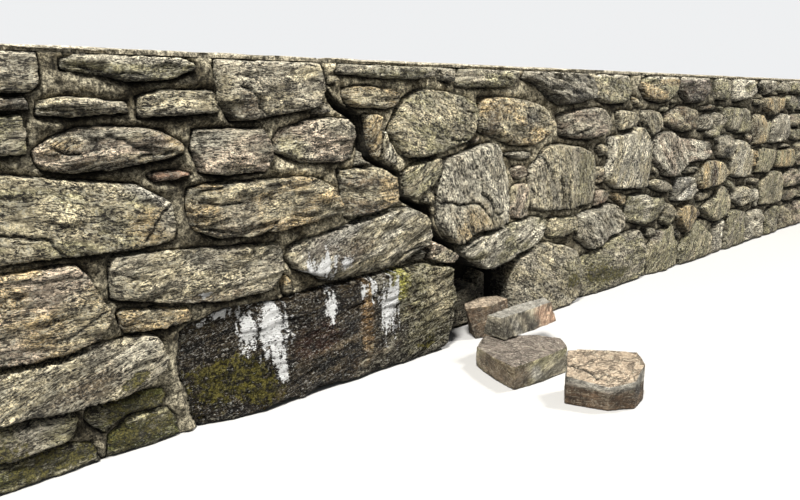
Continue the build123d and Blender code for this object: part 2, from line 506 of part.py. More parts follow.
# The rest of the face, grouped by course and side of the crack
for name, course in COURSES.items():
    with BuildPart() as course_stones:
        for head, points in course:
            lay_face_stone(points, head)
    finish(course_stones, name)

# Through stones that finish the two ends
for name, quoins in (("left_quoins", LEFT_QUOINS), ("right_quoins", RIGHT_QUOINS)):
    with BuildPart() as quoin_stack:
        for number, quoin in enumerate(quoins):
            lay_through_stone(quoin, MIDDLE_HEAD if number % 2 else LOW_HEAD)
    finish(quoin_stack, name)

# Rear courses
for number, course in enumerate(BACK_COURSES):
    with BuildPart() as back_stones:
        for points in course:
            lay_back_stone(outline(points))
    finish(back_stones, f"back_course_{number + 1}")


def bed_mortar(region, stones, start, depth):
    """Mortar that fills a region of the elevation between its stones."""
    with BuildSketch(Plane.XZ.offset(start)) as bed:
        Polygon(*outline(region), align=None)
        for points in stones:
            Polygon(*outline(points), align=None, mode=Mode.SUBTRACT)
    extrude(bed.sketch, amount=depth)


FACE_OUTLINES = [points for head, points in FACE_STONES]
FRONT_BED_DEPTH = FRONT_MORTAR - FRONT_TAIL
BACK_BED_DEPTH = BACK_TAIL - BACK_MORTAR

with BuildPart() as left_face_mortar:
    bed_mortar(LEFT_MORTAR_OUTLINE, FACE_OUTLINES + LEFT_QUOINS, FRONT_TAIL, FRONT_BED_DEPTH)
finish(left_face_mortar, "left_face_mortar")

with BuildPart() as right_face_mortar:
    bed_mortar(RIGHT_MORTAR_OUTLINE, FACE_OUTLINES + RIGHT_QUOINS, FRONT_TAIL, FRONT_BED_DEPTH)
finish(right_face_mortar, "right_face_mortar")

CORE_OUTLINE = [
    (LEFT_END + END_RECESS, 0),
    (RIGHT_END - END_RECESS, 0),
    (RIGHT_END - END_RECESS, SURVEY_HEIGHT),
    (LEFT_END + END_RECESS, SURVEY_HEIGHT),
]
BACK_OUTLINES = [points for course in BACK_COURSES for points in course]

with BuildPart() as back_mortar:
    bed_mortar(CORE_OUTLINE, BACK_OUTLINES + LEFT_QUOINS + RIGHT_QUOINS, BACK_MORTAR, BACK_BED_DEPTH)
finish(back_mortar, "back_mortar")

# The mortared rubble between the two faces, with the crack and the pocket running into it
with BuildPart() as hearting:
    bed_mortar(CORE_OUTLINE, LEFT_QUOINS + RIGHT_QUOINS, BACK_TAIL, FRONT_TAIL - BACK_TAIL)
    with BuildSketch(Plane.XZ.offset(FRONT_TAIL)):
        Polygon(*outline(POCKET_LEFT + POCKET_RIGHT[::-1]), align=None)
    extrude(amount=-POCKET_DEPTH, mode=Mode.SUBTRACT)
    with BuildSketch(Plane.XZ.offset(FRONT_TAIL)):
        Polygon(*outline(CRACK_LEFT + CRACK_RIGHT[::-1]), align=None)
    extrude(amount=-CRACK_DEPTH, mode=Mode.SUBTRACT)
finish(hearting, "hearting")

# The thin cement capping, parted by the crack
CAP_SETBACK = 8
CAP_EDGE_RADIUS = 10
CAP_CRACK_WIDTH = 8
CAP_CRACK_LINE = [(1566, 0.0), (1590, 0.4), (1575, 0.7), (1598, 1.0)]


def cap_crack_points(offset):
    """The line of the crack across the capping, from the front edge to the back one."""
    front = -FRONT + CAP_SETBACK
    depth = WALL_THICKNESS - 2 * CAP_SETBACK
    return [(along(x) + offset, front + share * depth) for x, share in CAP_CRACK_LINE]


def lay_cap(corners):
    """One length of capping with its long top edges rounded over."""
    with BuildSketch(Plane.XY.offset(CAP_UNDERSIDE)) as plan:
        Polygon(*corners, align=None)
    extrude(plan.sketch, amount=CAP_THICKNESS)
    top_edges = edges().filter_by(Axis.X).group_by(Axis.Z)[-1]
    fillet(top_edges, radius=CAP_EDGE_RADIUS)


CAP_FRONT = -FRONT + CAP_SETBACK
CAP_BACK = FRONT - CAP_SETBACK
CAP_LEFT = -WALL_LENGTH / 2
CAP_RIGHT = WALL_LENGTH / 2
HALF_CAP_CRACK = CAP_CRACK_WIDTH / 2

with BuildPart() as left_capping:
    lay_cap([(CAP_LEFT, CAP_BACK), (CAP_LEFT, CAP_FRONT)] + cap_crack_points(-HALF_CAP_CRACK))
finish(left_capping, "left_capping")

with BuildPart() as right_capping:
    lay_cap([(CAP_RIGHT, CAP_BACK), (CAP_RIGHT, CAP_FRONT)] + cap_crack_points(HALF_CAP_CRACK))
finish(right_capping, "right_capping")

# Rubble of the core that shows inside the pocket, standing on the ground against the pocket's back
POCKET_BACK = FRONT_TAIL - POCKET_DEPTH
POCKET_STONES = [
    (150, [(2455, 0), (2455, 178), (2590, 232), (2770, 268), (2798, 205), (2800, 0)]),
    (115, [(2812, 0), (2806, 262), (2848, 325), (2893, 300), (2898, 0)]),
]
with BuildPart() as pocket_stones:
    for depth, points in POCKET_STONES:
        corners = outline(points)
        narrow = narrowed(corners, FACE_TAPER)
        lay_sections([(POCKET_BACK, corners), (POCKET_BACK + depth, narrow)])
finish(pocket_stones, "pocket_stones")


def in_front(points):
    """Surveyed places on the ground (x, distance out from the wall's face)."""
    return [(along(x), -FRONT - distance) for x, distance in points]


# Stones that have dropped out of the pocket and lie on the ground before it
CHIP_HEIGHT = 185
CHIP_FOOT = [(2555, 40), (2610, -60), (2800, -95), (2885, -40), (2845, 75), (2700, 95)]
CHIP_HEAD = [(2503, 5), (2580, -75), (2740, -98), (2850, -50), (2840, 35), (2660, 60)]
BLOCK_HEIGHT = 200
BLOCK_TAPER = 0.95
BLOCK_TOP_FACING = (-0.318, -0.254, 0.913)
BLOCK_FOOT = [(2212, 868), (2290, 1045), (2400, 1115), (2520, 1090), (2564, 1025), (2457, 893), (2345, 778)]
BLOCK_TOP_BACK = (2345, 790)
LYING_HEIGHT = 122
LYING_TOP_SLOPE = 3.0
LYING_TOP_RISE = 2.5
LYING_STONE = [(2156, 632), (2335, 662), (2530, 672), (2618, 570), (2580, 440), (2410, 232), (2255, 300),
               (2188, 480)]
SLAB_THICKNESS = 120
SLAB_UNDERSIDE = [(2398, 376), (2615, 402), (2808, 412), (2832, 300), (2640, 228), (2402, 216)]
SLAB_TOP = [(2402, 352), (2612, 382), (2796, 392), (2822, 312), (2640, 268), (2400, 262)]

with BuildPart() as fallen_chip:
    with BuildSketch(Plane.XY) as foot:
        Polygon(*in_front(CHIP_FOOT), align=None)
    with BuildSketch(Plane.XY.offset(CHIP_HEIGHT)) as head:
        Polygon(*in_front(CHIP_HEAD), align=None)
    loft([foot.sketch.face(), head.sketch.face()], ruled=True)
finish(fallen_chip, "fallen_chip")

# The block's top slopes down and away from its back corner
block_back_x, block_back_y = in_front([BLOCK_TOP_BACK])[0]
block_top = Plane(origin=(block_back_x, block_back_y, BLOCK_HEIGHT), z_dir=BLOCK_TOP_FACING)
with BuildPart() as fallen_block:
    with BuildSketch(Plane.XY) as foot:
        Polygon(*in_front(BLOCK_FOOT), align=None)
    with BuildSketch(Plane.XY.offset(WALL_THICKNESS)) as head:
        Polygon(*narrowed(in_front(BLOCK_FOOT), BLOCK_TAPER), align=None)
    loft([foot.sketch.face(), head.sketch.face()], ruled=True)
    split(bisect_by=block_top, keep=Keep.BOTTOM)
finish(fallen_block, "fallen_block")

# The lying stone's top falls towards the wall and rises along it, and the fallen slab rests on it
lying_x, lying_y = in_front(LYING_STONE)[0]
lying_top = Plane(origin=(lying_x, lying_y, LYING_HEIGHT)).rotated((-LYING_TOP_SLOPE, -LYING_TOP_RISE, 0))

with BuildPart() as lying_stone:
    with BuildSketch(Plane.XY) as foot:
        Polygon(*in_front(LYING_STONE), align=None)
    extrude(foot.sketch, amount=WALL_THICKNESS)
    split(bisect_by=lying_top, keep=Keep.BOTTOM)
finish(lying_stone, "lying_stone")

with BuildPart() as fallen_slab:
    with BuildSketch(lying_top.offset(FALLEN_GAP)) as underside:
        Polygon(*[(x - lying_x, y - lying_y) for x, y in in_front(SLAB_UNDERSIDE)], align=None)
    with BuildSketch(lying_top.offset(FALLEN_GAP + SLAB_THICKNESS)) as upper_side:
        Polygon(*[(x - lying_x, y - lying_y) for x, y in in_front(SLAB_TOP)], align=None)
    loft([underside.sketch.face(), upper_side.sketch.face()], ruled=True)
finish(fallen_slab, "fallen_slab")
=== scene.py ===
import math

import bpy
import numpy as np
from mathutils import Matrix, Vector
from mathutils.geometry import delaunay_2d_cdt


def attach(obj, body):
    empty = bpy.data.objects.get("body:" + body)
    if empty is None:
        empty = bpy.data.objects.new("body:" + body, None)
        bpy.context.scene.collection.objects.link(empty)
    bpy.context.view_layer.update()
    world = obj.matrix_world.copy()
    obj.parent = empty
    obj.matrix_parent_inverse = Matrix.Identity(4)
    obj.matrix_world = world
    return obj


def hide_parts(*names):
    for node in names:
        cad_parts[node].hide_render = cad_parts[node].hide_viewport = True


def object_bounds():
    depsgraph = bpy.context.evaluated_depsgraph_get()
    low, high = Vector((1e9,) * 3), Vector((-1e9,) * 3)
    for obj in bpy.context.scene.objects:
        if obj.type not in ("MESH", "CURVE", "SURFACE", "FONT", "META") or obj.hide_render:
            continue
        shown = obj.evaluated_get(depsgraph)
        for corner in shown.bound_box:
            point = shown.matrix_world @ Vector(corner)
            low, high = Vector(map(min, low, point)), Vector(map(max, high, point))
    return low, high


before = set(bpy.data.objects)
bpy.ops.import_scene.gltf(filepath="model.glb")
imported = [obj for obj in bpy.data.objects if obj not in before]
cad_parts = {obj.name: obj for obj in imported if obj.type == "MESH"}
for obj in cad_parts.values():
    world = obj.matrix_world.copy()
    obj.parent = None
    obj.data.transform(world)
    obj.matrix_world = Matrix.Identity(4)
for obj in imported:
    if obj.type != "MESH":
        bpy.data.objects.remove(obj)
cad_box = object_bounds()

# Planes of the wall across its thickness, in metres: faces of the mortar and ends of the stones' tails.
FRONT_MORTAR_Y, BACK_MORTAR_Y = -0.21, 0.21
FRONT_TAIL_Y, BACK_TAIL_Y = -0.08, 0.10

# Places on the facing are given in millimetres from a zero 4 m left of the wall's middle.
FACING_ZERO_X = -4.0
MM = 1000.0

BOX_MARGIN = 0.0002


# Noise

def lattice(cell, seed):
    """A fixed random number from -1 to 1 for each whole-number cell."""
    h = cell[:, 0] * 73856093 ^ cell[:, 1] * 19349663 ^ cell[:, 2] * 83492791 ^ (seed * 2654435761)
    h = h & 0xFFFFFFFF
    h = (h ^ (h >> 15)) * 2246822519 & 0xFFFFFFFF
    h = (h ^ (h >> 13)) * 3266489917 & 0xFFFFFFFF
    h = h ^ (h >> 16)
    return (h & 0xFFFFFF) / 8388607.5 - 1.0


def noise(p, seed=0):
    """Smooth noise from -1 to 1 at each row of p."""
    base = np.floor(p)
    t = p - base
    t = t * t * (3.0 - 2.0 * t)
    base = base.astype(np.int64)
    total = np.zeros(len(p))
    for dx in (0, 1):
        wx = t[:, 0] if dx else 1.0 - t[:, 0]
        for dy in (0, 1):
            wy = t[:, 1] if dy else 1.0 - t[:, 1]
            for dz in (0, 1):
                wz = t[:, 2] if dz else 1.0 - t[:, 2]
                total += wx * wy * wz * lattice(base + np.array([dx, dy, dz]), seed)
    return total


def fractal(p, octaves, seed=0):
    """Layered noise, each layer half the size and half the strength of the last."""
    total = np.zeros(len(p))
    reach = 0.0
    strength = 1.0
    for k in range(octaves):
        total += strength * noise(p * 2.0 ** k + 11.3 * k, seed + k)
        reach += strength
        strength *= 0.5
    return total / reach


def ramp(low, high, value):
    """0 below low, 1 above high, smooth between."""
    t = np.clip((value - low) / (high - low), 0.0, 1.0)
    return t * t * (3.0 - 2.0 * t)


def far_share(x):
    """0 on the left part of the wall, 1 on the right part, where the joints are open and deep and their
    painted shade is darker.
    """
    return ramp(-0.6, 0.8, x)


def at3(u, v, w=0.0):
    """Rows of three numbers from columns or single numbers."""
    return np.stack(np.broadcast_arrays(u, v, w), axis=1).astype(float)


def blended(a, b, share):
    """Rows of a passing into rows of b by each row's share."""
    return a * (1.0 - share[:, None]) + b * share[:, None]


# Outlines

# Points that agree to a hundredth of a millimetre are one point.
ROUNDING = 1e5
PLANE_TOLERANCE = 2e-4
LEAST_TURN = 0.01
CORNER_SHARE = 0.42
BATCH = 2000
# The points inside an outline, in steps: pitch of their rows, jitter and distance from the outline.
ROW_PITCH, GRID_JITTER, RIM_CLEARANCE = 0.87, 0.22, 0.55


def root_of(parent, a):
    while parent[a] != a:
        parent[a] = parent[parent[a]]
        a = parent[a]
    return a


def islands(obj):
    """Each separate solid of a node as (points, faces)."""
    me = obj.data
    co = np.zeros(len(me.vertices) * 3)
    me.vertices.foreach_get("co", co)
    keys = {}
    place = []
    ids = []
    for c in co.reshape(-1, 3):
        key = tuple(round(value * ROUNDING) for value in c)
        if key not in keys:
            keys[key] = len(place)
            place.append(c)
        ids.append(keys[key])
    parent = list(range(len(place)))
    faces = []
    for poly in me.polygons:
        face = [ids[v] for v in poly.vertices]
        if len(set(face)) < 3:
            continue
        faces.append(face)
        for v in face[1:]:
            a, b = root_of(parent, face[0]), root_of(parent, v)
            if a != b:
                parent[max(a, b)] = min(a, b)
    groups = {}
    for face in faces:
        groups.setdefault(root_of(parent, face[0]), []).append(face)
    place = np.array(place)
    found = []
    for group in groups.values():
        used = sorted({v for face in group for v in face})
        new = {v: k for k, v in enumerate(used)}
        found.append((place[used], [[new[v] for v in face] for face in group]))
    found.sort(key=lambda item: (item[0][:, 0].mean(), item[0][:, 2].mean()))
    return found


def chained(pairs):
    """Closed loops of point numbers from unordered edges."""
    near = {}
    for a, b in pairs:
        near.setdefault(a, []).append(b)
        near.setdefault(b, []).append(a)
    left = {frozenset(p) for p in pairs}
    loops = []
    while left:
        a, b = tuple(next(iter(left)))
        left.discard(frozenset((a, b)))
        loop = [a, b]
        while True:
            onward = [c for c in near[loop[-1]] if frozenset((loop[-1], c)) in left]
            if not onward:
                break
            left.discard(frozenset((loop[-1], onward[0])))
            if onward[0] == loop[0]:
                break
            loop.append(onward[0])
        loops.append(loop)
    return loops


def outline_at(points, faces, y):
    """The largest closed outline, as x and z, that a solid has in the plane at y."""
    flat = np.abs(points[:, 1] - y) < PLANE_TOLERANCE
    count = {}
    capped = {}
    for face in faces:
        on_plane = all(flat[v] for v in face)
        for a, b in zip(face, face[1:] + face[:1]):
            if flat[a] and flat[b] and a != b:
                key = (min(a, b), max(a, b))
                count[key] = count.get(key, 0) + 1
                capped[key] = capped.get(key, 0) + on_plane
    pairs = [k for k in count if capped[k] < 2]
    loops = [straightened(points[loop][:, [0, 2]]) for loop in chained(pairs) if len(loop) > 2]
    loop = max(loops, key=lambda loop: abs(area(loop)))
    return loop if area(loop) > 0 else loop[::-1]


def area(loop):
    x, z = loop[:, 0], loop[:, 1]
    return 0.5 * float(np.sum(x * np.roll(z, -1) - np.roll(x, -1) * z))


def straightened(loop):
    """The loop without the points that lie on a straight run."""
    ahead = np.roll(loop, -1, axis=0) - loop
    back = loop - np.roll(loop, 1, axis=0)
    turn = np.abs(ahead[:, 0] * back[:, 1] - ahead[:, 1] * back[:, 0])
    size = np.hypot(*ahead.T) * np.hypot(*back.T) + 1e-12
    kept = turn / size > LEAST_TURN
    return loop[kept] if kept.sum() > 2 else loop


def along(line, places):
    """Points of an open line at the distances that places gives for its length."""
    gone = np.concatenate([[0.0], np.cumsum(np.hypot(*np.diff(line, axis=0).T))])
    at = places(gone[-1])
    return np.stack([np.interp(at, gone, line[:, 0]), np.interp(at, gone, line[:, 1])], axis=1)


def resampled(line, step):
    """A closed line as points about a step apart."""
    def places(length):
        count = max(12, int(round(length / step)))
        return np.arange(count) * length / count
    return along(np.vstack([line, line[:1]]), places)


def resampled_open(line, step):
    return along(line, lambda length: np.linspace(0, length, max(4, int(length / step))))


def rounded(loop, radius, step):
    """The loop with its corners rounded off, as points a step apart."""
    line = []
    for i in range(len(loop)):
        before, here, after = loop[i - 1], loop[i], loop[(i + 1) % len(loop)]
        back, ahead = before - here, after - here
        start, end = [here + way * (min(radius, CORNER_SHARE * np.hypot(*way)) / (np.hypot(*way) + 1e-9))
                      for way in (back, ahead)]
        for t in (0.0, 0.2, 0.4, 0.6, 0.8, 1.0):
            line.append(start * (1 - t) ** 2 + here * 2 * t * (1 - t) + end * t ** 2)
    return resampled(np.array(line), step)


def outward(line):
    """The outward direction at each point of a counter-clockwise line."""
    way = np.roll(line, -1, axis=0) - np.roll(line, 1, axis=0)
    way /= np.hypot(*way.T)[:, None] + 1e-12
    return np.stack([way[:, 1], -way[:, 0]], axis=1)


def reach_to(points, line):
    """Distance of each point from a closed line, positive inside it."""
    a = line
    b = np.roll(line, -1, axis=0)
    ab = b - a
    size = (ab ** 2).sum(1) + 1e-18
    rise = b[None, :, 1] - a[None, :, 1]
    best = np.full(len(points), 1e9)
    inside = np.zeros(len(points), bool)
    for start in range(0, len(points), BATCH):
        p = points[start:start + BATCH]
        ap = p[:, None, :] - a[None]
        t = np.clip((ap * ab).sum(2) / size, 0.0, 1.0)
        gap = np.hypot(*(np.moveaxis(ap - ab * t[..., None], 2, 0)))
        best[start:start + BATCH] = gap.min(1)
        over = (a[None, :, 1] > p[:, None, 1]) != (b[None, :, 1] > p[:, None, 1])
        cross = a[None, :, 0] + ap[:, :, 1] * ab[None, :, 0] / np.where(rise == 0, 1, rise)
        inside[start:start + BATCH] = (over & (p[:, None, 0] < cross)).sum(1) % 2 == 1
    return np.where(inside, best, -best)


def filled(line, step, rng):
    """Points inside a line and the triangles that join them; the line's own points come first."""
    low, high = line.min(0), line.max(0)
    xs = np.arange(low[0], high[0], step)
    zs = np.arange(low[1], high[1], step * ROW_PITCH)
    gx, gz = np.meshgrid(xs, zs)
    gx = gx + (np.arange(len(zs)) % 2)[:, None] * step * 0.5
    grid = np.stack([gx.ravel(), gz.ravel()], axis=1)
    grid += rng.uniform(-GRID_JITTER, GRID_JITTER, grid.shape) * step
    points = np.vstack([line, grid[reach_to(grid, line) > RIM_CLEARANCE * step]])
    edges = [(k, (k + 1) % len(line)) for k in range(len(line))]
    verts, _, faces, _, _, _ = delaunay_2d_cdt([Vector(p) for p in points], edges, [], 1, 1e-7)
    if len(verts) != len(points):
        points = np.array([v[:] for v in verts])
    depth = reach_to(points, line)
    depth[:len(line)] = 0.0
    return points, [list(f) for f in faces], depth


def band(a, b, n):
    """Faces between two rings of n points, whose first points are number a and number b."""
    return [[a + (i + 1) % n, a + i, b + i, b + (i + 1) % n] for i in range(n)]


# Meshes

def placed(name, data):
    obj = bpy.data.objects.new(name, data)
    bpy.context.scene.collection.objects.link(obj)
    return obj


def mesh_of(name, points, faces, material=None):
    me = bpy.data.meshes.new(name)
    me.from_pydata(points, [], faces)
    if material:
        me.materials.append(material)
    return me


def within_box(points):
    """The points, none of them outside the box of the solids."""
    return np.clip(points, np.array(cad_box[0]) + BOX_MARGIN, np.array(cad_box[1]) - BOX_MARGIN)


def new_piece(piece, points, faces, name, material):
    """Makes one visible piece, which stands in for the node of that name."""
    me = mesh_of(piece, within_box(points).tolist(), faces, material)
    me.validate()
    me.polygons.foreach_set("use_smooth", [True] * len(me.polygons))
    obj = placed(piece, me)
    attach(obj, "root")
    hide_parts(name)
    return me


class Shape:
    """Points, faces and per-point values of one piece, gathered stone by stone."""

    def __init__(self):
        self.points = []
        self.faces = []
        self.values = {"tone": [], "stain": [], "grain": []}
        self.count = 0

    def add(self, points, faces, **values):
        self.points.append(points)
        self.faces += [[v + self.count for v in face] for face in faces]
        for key, rows in values.items():
            self.values[key].append(rows)
        self.count += len(points)

    def finish(self, name, material):
        me = new_piece("rock_" + name, np.vstack(self.points), self.faces, name, material)
        for key in ("tone", "stain"):
            layer = me.attributes.new(key, "FLOAT_COLOR", "POINT")
            rgb = np.clip(np.vstack(self.values[key]), 0.0, 1.0)
            layer.data.foreach_set("color", np.hstack([rgb, np.ones((len(rgb), 1))]).ravel())
        layer = me.attributes.new("grain", "FLOAT_VECTOR", "POINT")
        layer.data.foreach_set("vector", np.vstack(self.values["grain"]).ravel())


# Tones

def linear(rgb):
    c = np.array(rgb, float) / 255.0
    return np.where(c <= 0.04045, c / 12.92, ((c + 0.055) / 1.055) ** 2.4)


# Tones of the stone, as seen on a dull day.
TONES = {name: linear(rgb) for name, rgb in {
    "tan": (156, 146, 119), "grey": (144, 136, 117), "pale": (178, 171, 152), "olive": (131, 125, 96),
    "moss": (84, 84, 42), "ochre": (164, 144, 106), "pink": (154, 139, 120), "brown": (100, 87, 68),
    "dark": (78, 74, 65), "black": (34, 29, 24), "plum": (112, 102, 92), "beige": (150, 134, 114),
    "vein": (150, 146, 136), "rust": (150, 120, 98), "umber": (72, 58, 44), "wine": (98, 60, 42),
    "amber": (210, 178, 126), "sulphur": (150, 146, 66)}.items()}
STAINS = ("moss", "lime", "wet")
CEMENT_TONE = linear((206, 197, 176))
CEMENT_FOOT_Z = 1.476
MEAN_LIGHT = 1.4
CONTRAST = 1.25
PATCH_STRENGTH = 0.85


class Look:
    """How one stone looks: its two tones, the slope and strength of its layers, and how round it is.

    A patch is a tone or stain with its middle, half sizes and turn. A fissure is its track, its width
    and its depth. Lengths are in millimetres and angles in degrees.
    """

    def __init__(self, main, other, slope=0.0, layers=1.0, edge=8, corner=5, facets=6, dome=4,
                 patches=(), fissures=(), top=None):
        self.main = TONES[main]
        self.other = TONES[other]
        self.slope = math.radians(slope)
        self.layers = layers
        self.edge = edge / MM
        self.corner = corner / MM
        self.facets = facets
        self.dome = dome / MM
        self.patches = patches
        self.fissures = [(track, wide / MM, deep / MM) for track, wide, deep in fissures]
        self.top = top

    def across(self, x, z, middle):
        """Places along and across the layers, from the stone's middle."""
        cs, sn = math.cos(self.slope), math.sin(self.slope)
        x, z = x - middle[0], z - middle[1]
        return x * cs + z * sn, -x * sn + z * cs

    def grain(self, u, v, third):
        """Coordinates for the fine grain, which is drawn out along the layers."""
        return at3(u, v * (1.2 + 2.6 * self.layers), third)


def patch_cover(x, z, patch, seed):
    """How much of a patch lies at each point: 1 in its middle and ragged towards its edge."""
    kind, px, pz, half_x, half_z, turn = (*patch, 0)[:6]
    dx = (x - FACING_ZERO_X) * MM - px
    dz = z * MM - pz
    cs, sn = math.cos(math.radians(turn)), math.sin(math.radians(turn))
    a = (dx * cs + dz * sn) / half_x
    b = (-dx * sn + dz * cs) / half_z
    if kind == "lime":
        streak = fractal(at3(x / 0.011, z / 0.075, px * 0.01), 3, seed + 41)
        crumb = fractal(at3(x / 0.012, z / 0.012, px * 0.02), 2, seed + 43)
        # Streaks run down and fade: they end at heights of their own.
        return ramp(-0.35, 0.75, 1.0 - np.hypot(a, b * (1.0 - 0.35 * streak)) + 0.75 * streak + 0.35 * crumb)
    ragged = 0.55 * fractal(at3(x / 0.05, z / 0.04, px * 0.01), 3, seed + 41)
    return ramp(-0.45, 0.55, 1.0 - np.hypot(a, b) + ragged)


def coloured(x, z, u, v, d, shade, rough, look, seed):
    """The tone, with its painted shading, and the stains of each point of a stone; d is its distance from the
    outline.
    """
    blotch = ramp(-0.25, 0.3, fractal(at3(u / 0.14, v / 0.045, seed), 3, seed + 51))
    tone = blended(look.main, look.other, blotch)
    wide = fractal(at3(x / 0.09, z / 0.09, seed * 0.7), 3, seed + 61)
    light = MEAN_LIGHT + 0.85 * wide + 0.7 * look.layers * shade + 0.9 * rough
    light = MEAN_LIGHT * np.clip(light / MEAN_LIGHT, 0.1, 1.7) ** CONTRAST
    # The rim is darker, painted shade with some dirt, most of all on the right part, with a painted highlight
    # in a line just inside it.
    light *= 1.0 - (0.3 + 0.4 * far_share(x)) * (1.0 - ramp(0.0, 0.006 + 0.012 * far_share(x), d))
    light *= 1.0 + 0.15 * ramp(0.004, 0.009, d) * (1.0 - ramp(0.009, 0.02, d))
    tone = tone * np.clip(light, 0.14, 2.2)[:, None]
    stain = np.zeros((len(x), len(STAINS)))
    for patch in look.patches:
        cover = patch_cover(x, z, patch, seed)
        if patch[0] in STAINS:
            column = STAINS.index(patch[0])
            stain[:, column] = np.maximum(stain[:, column], cover)
        else:
            patch_tone = TONES[patch[0]] * np.clip(light, 0.25, 1.7)[:, None]
            tone = blended(tone, patch_tone, PATCH_STRENGTH * cover)
    return tone, stain


# Heads of the facing stones

# Spacing and depth of the two sets of layers in the rock.
LAYER_SETS = ((0.046, 0.012), (0.021, 0.0065))
LAYER_KEY = 7.31
RIM = 0.03
UNDER_RIM, UPPER_RIM = [0.0, 0.014], [0.0, 0.012]
# A fissure is at least this many point spacings wide.
LEAST_FISSURE = 1.25
DEEPEST = -0.004
HEAD_ROOT = 0.03
TAIL_SHRINK = 0.985
TRACK_STEP = 0.004


def beds(t, edge_from, places, seed):
    """The layers at t: how far each point is over its layer's edge, and the heights of that and the next."""
    layer = np.floor(t)
    here, above = (noise(places((layer + k) * LAYER_KEY), seed + 21) for k in (0, 1))
    return ramp(edge_from, 1.0, t - layer), here, above


def layered(u, v, seed):
    """Depth of the rock's stepped layers, and their painted shading: lighter where a layer stands out,
    painted shade under an overhanging ledge and a painted highlight on an edge that stands out.
    """
    relief = np.zeros(len(u))
    shade = np.zeros(len(u))
    for pitch, size in LAYER_SETS:
        t = v / pitch + 0.5 * fractal(at3(u / 0.1, v / 0.05, 3.0), 2, seed + 3)
        part, here, above = beds(t, 0.76, lambda key: at3(u / (pitch * 3.2), key, 0.5), seed)
        ledge = here * (1 - part) + above * part
        relief += size * ledge
        # Painted shading: lighter with the layer's height, painted shade where the next layer overhangs and a
        # painted highlight where this one stands out.
        shade += ledge * 0.4 + 4.0 * part * (1.0 - part) * (0.7 * np.clip(here - above, 0.0, 1.0)
                                                            - 1.5 * np.clip(above - here, 0.0, 1.0))
    return relief, shade


def gap_to(points, track, scale, sway, sway_size, seed):
    """Distance of each point from a fissure, whose track sways a little."""
    run = resampled_open(np.array(track, float) / scale + [FACING_ZERO_X, 0.0], TRACK_STEP)
    spots = run / sway_size
    run += sway * np.stack([noise(at3(*spots.T, k), seed) for k in (1, 2)], 1)
    return np.hypot(*(np.moveaxis(points[:, None] - run[None], 2, 0))).min(1)


def head_height(points, middle, d, rise, look, rng, seed):
    """Height of a head before its layers: a broken edge, a low dome and slanting facets."""
    x, z = points[:, 0], points[:, 1]
    broken = ramp(-0.3, 0.45, fractal(at3(x / 0.13, z / 0.13, seed * 0.53), 2, seed + 15))
    edge = look.edge * (0.25 + 1.05 * broken)
    height = rise * np.sqrt(np.clip(1.0 - (1.0 - np.clip(d / edge, 0.0, 1.0)) ** 2, 0.0, 1.0))
    height += look.dome * np.clip(d / max(d.max(), 0.01), 0.0, 1.0)
    uneven = 0.01 * noise(at3(x / 0.05, z / 0.05), seed + 4)
    for _ in range(look.facets):
        turn = rng.uniform(0, 2 * math.pi)
        side = (points - middle) @ np.array([math.cos(turn), math.sin(turn)])
        start = side.max() * rng.uniform(-0.1, 0.85)
        fall = rng.uniform(0.08, 0.42) * (0.35 + start / side.max())
        height = np.minimum(height, rise - fall * np.clip(side - start + uneven, 0.0, None) + 0.002)
    return height


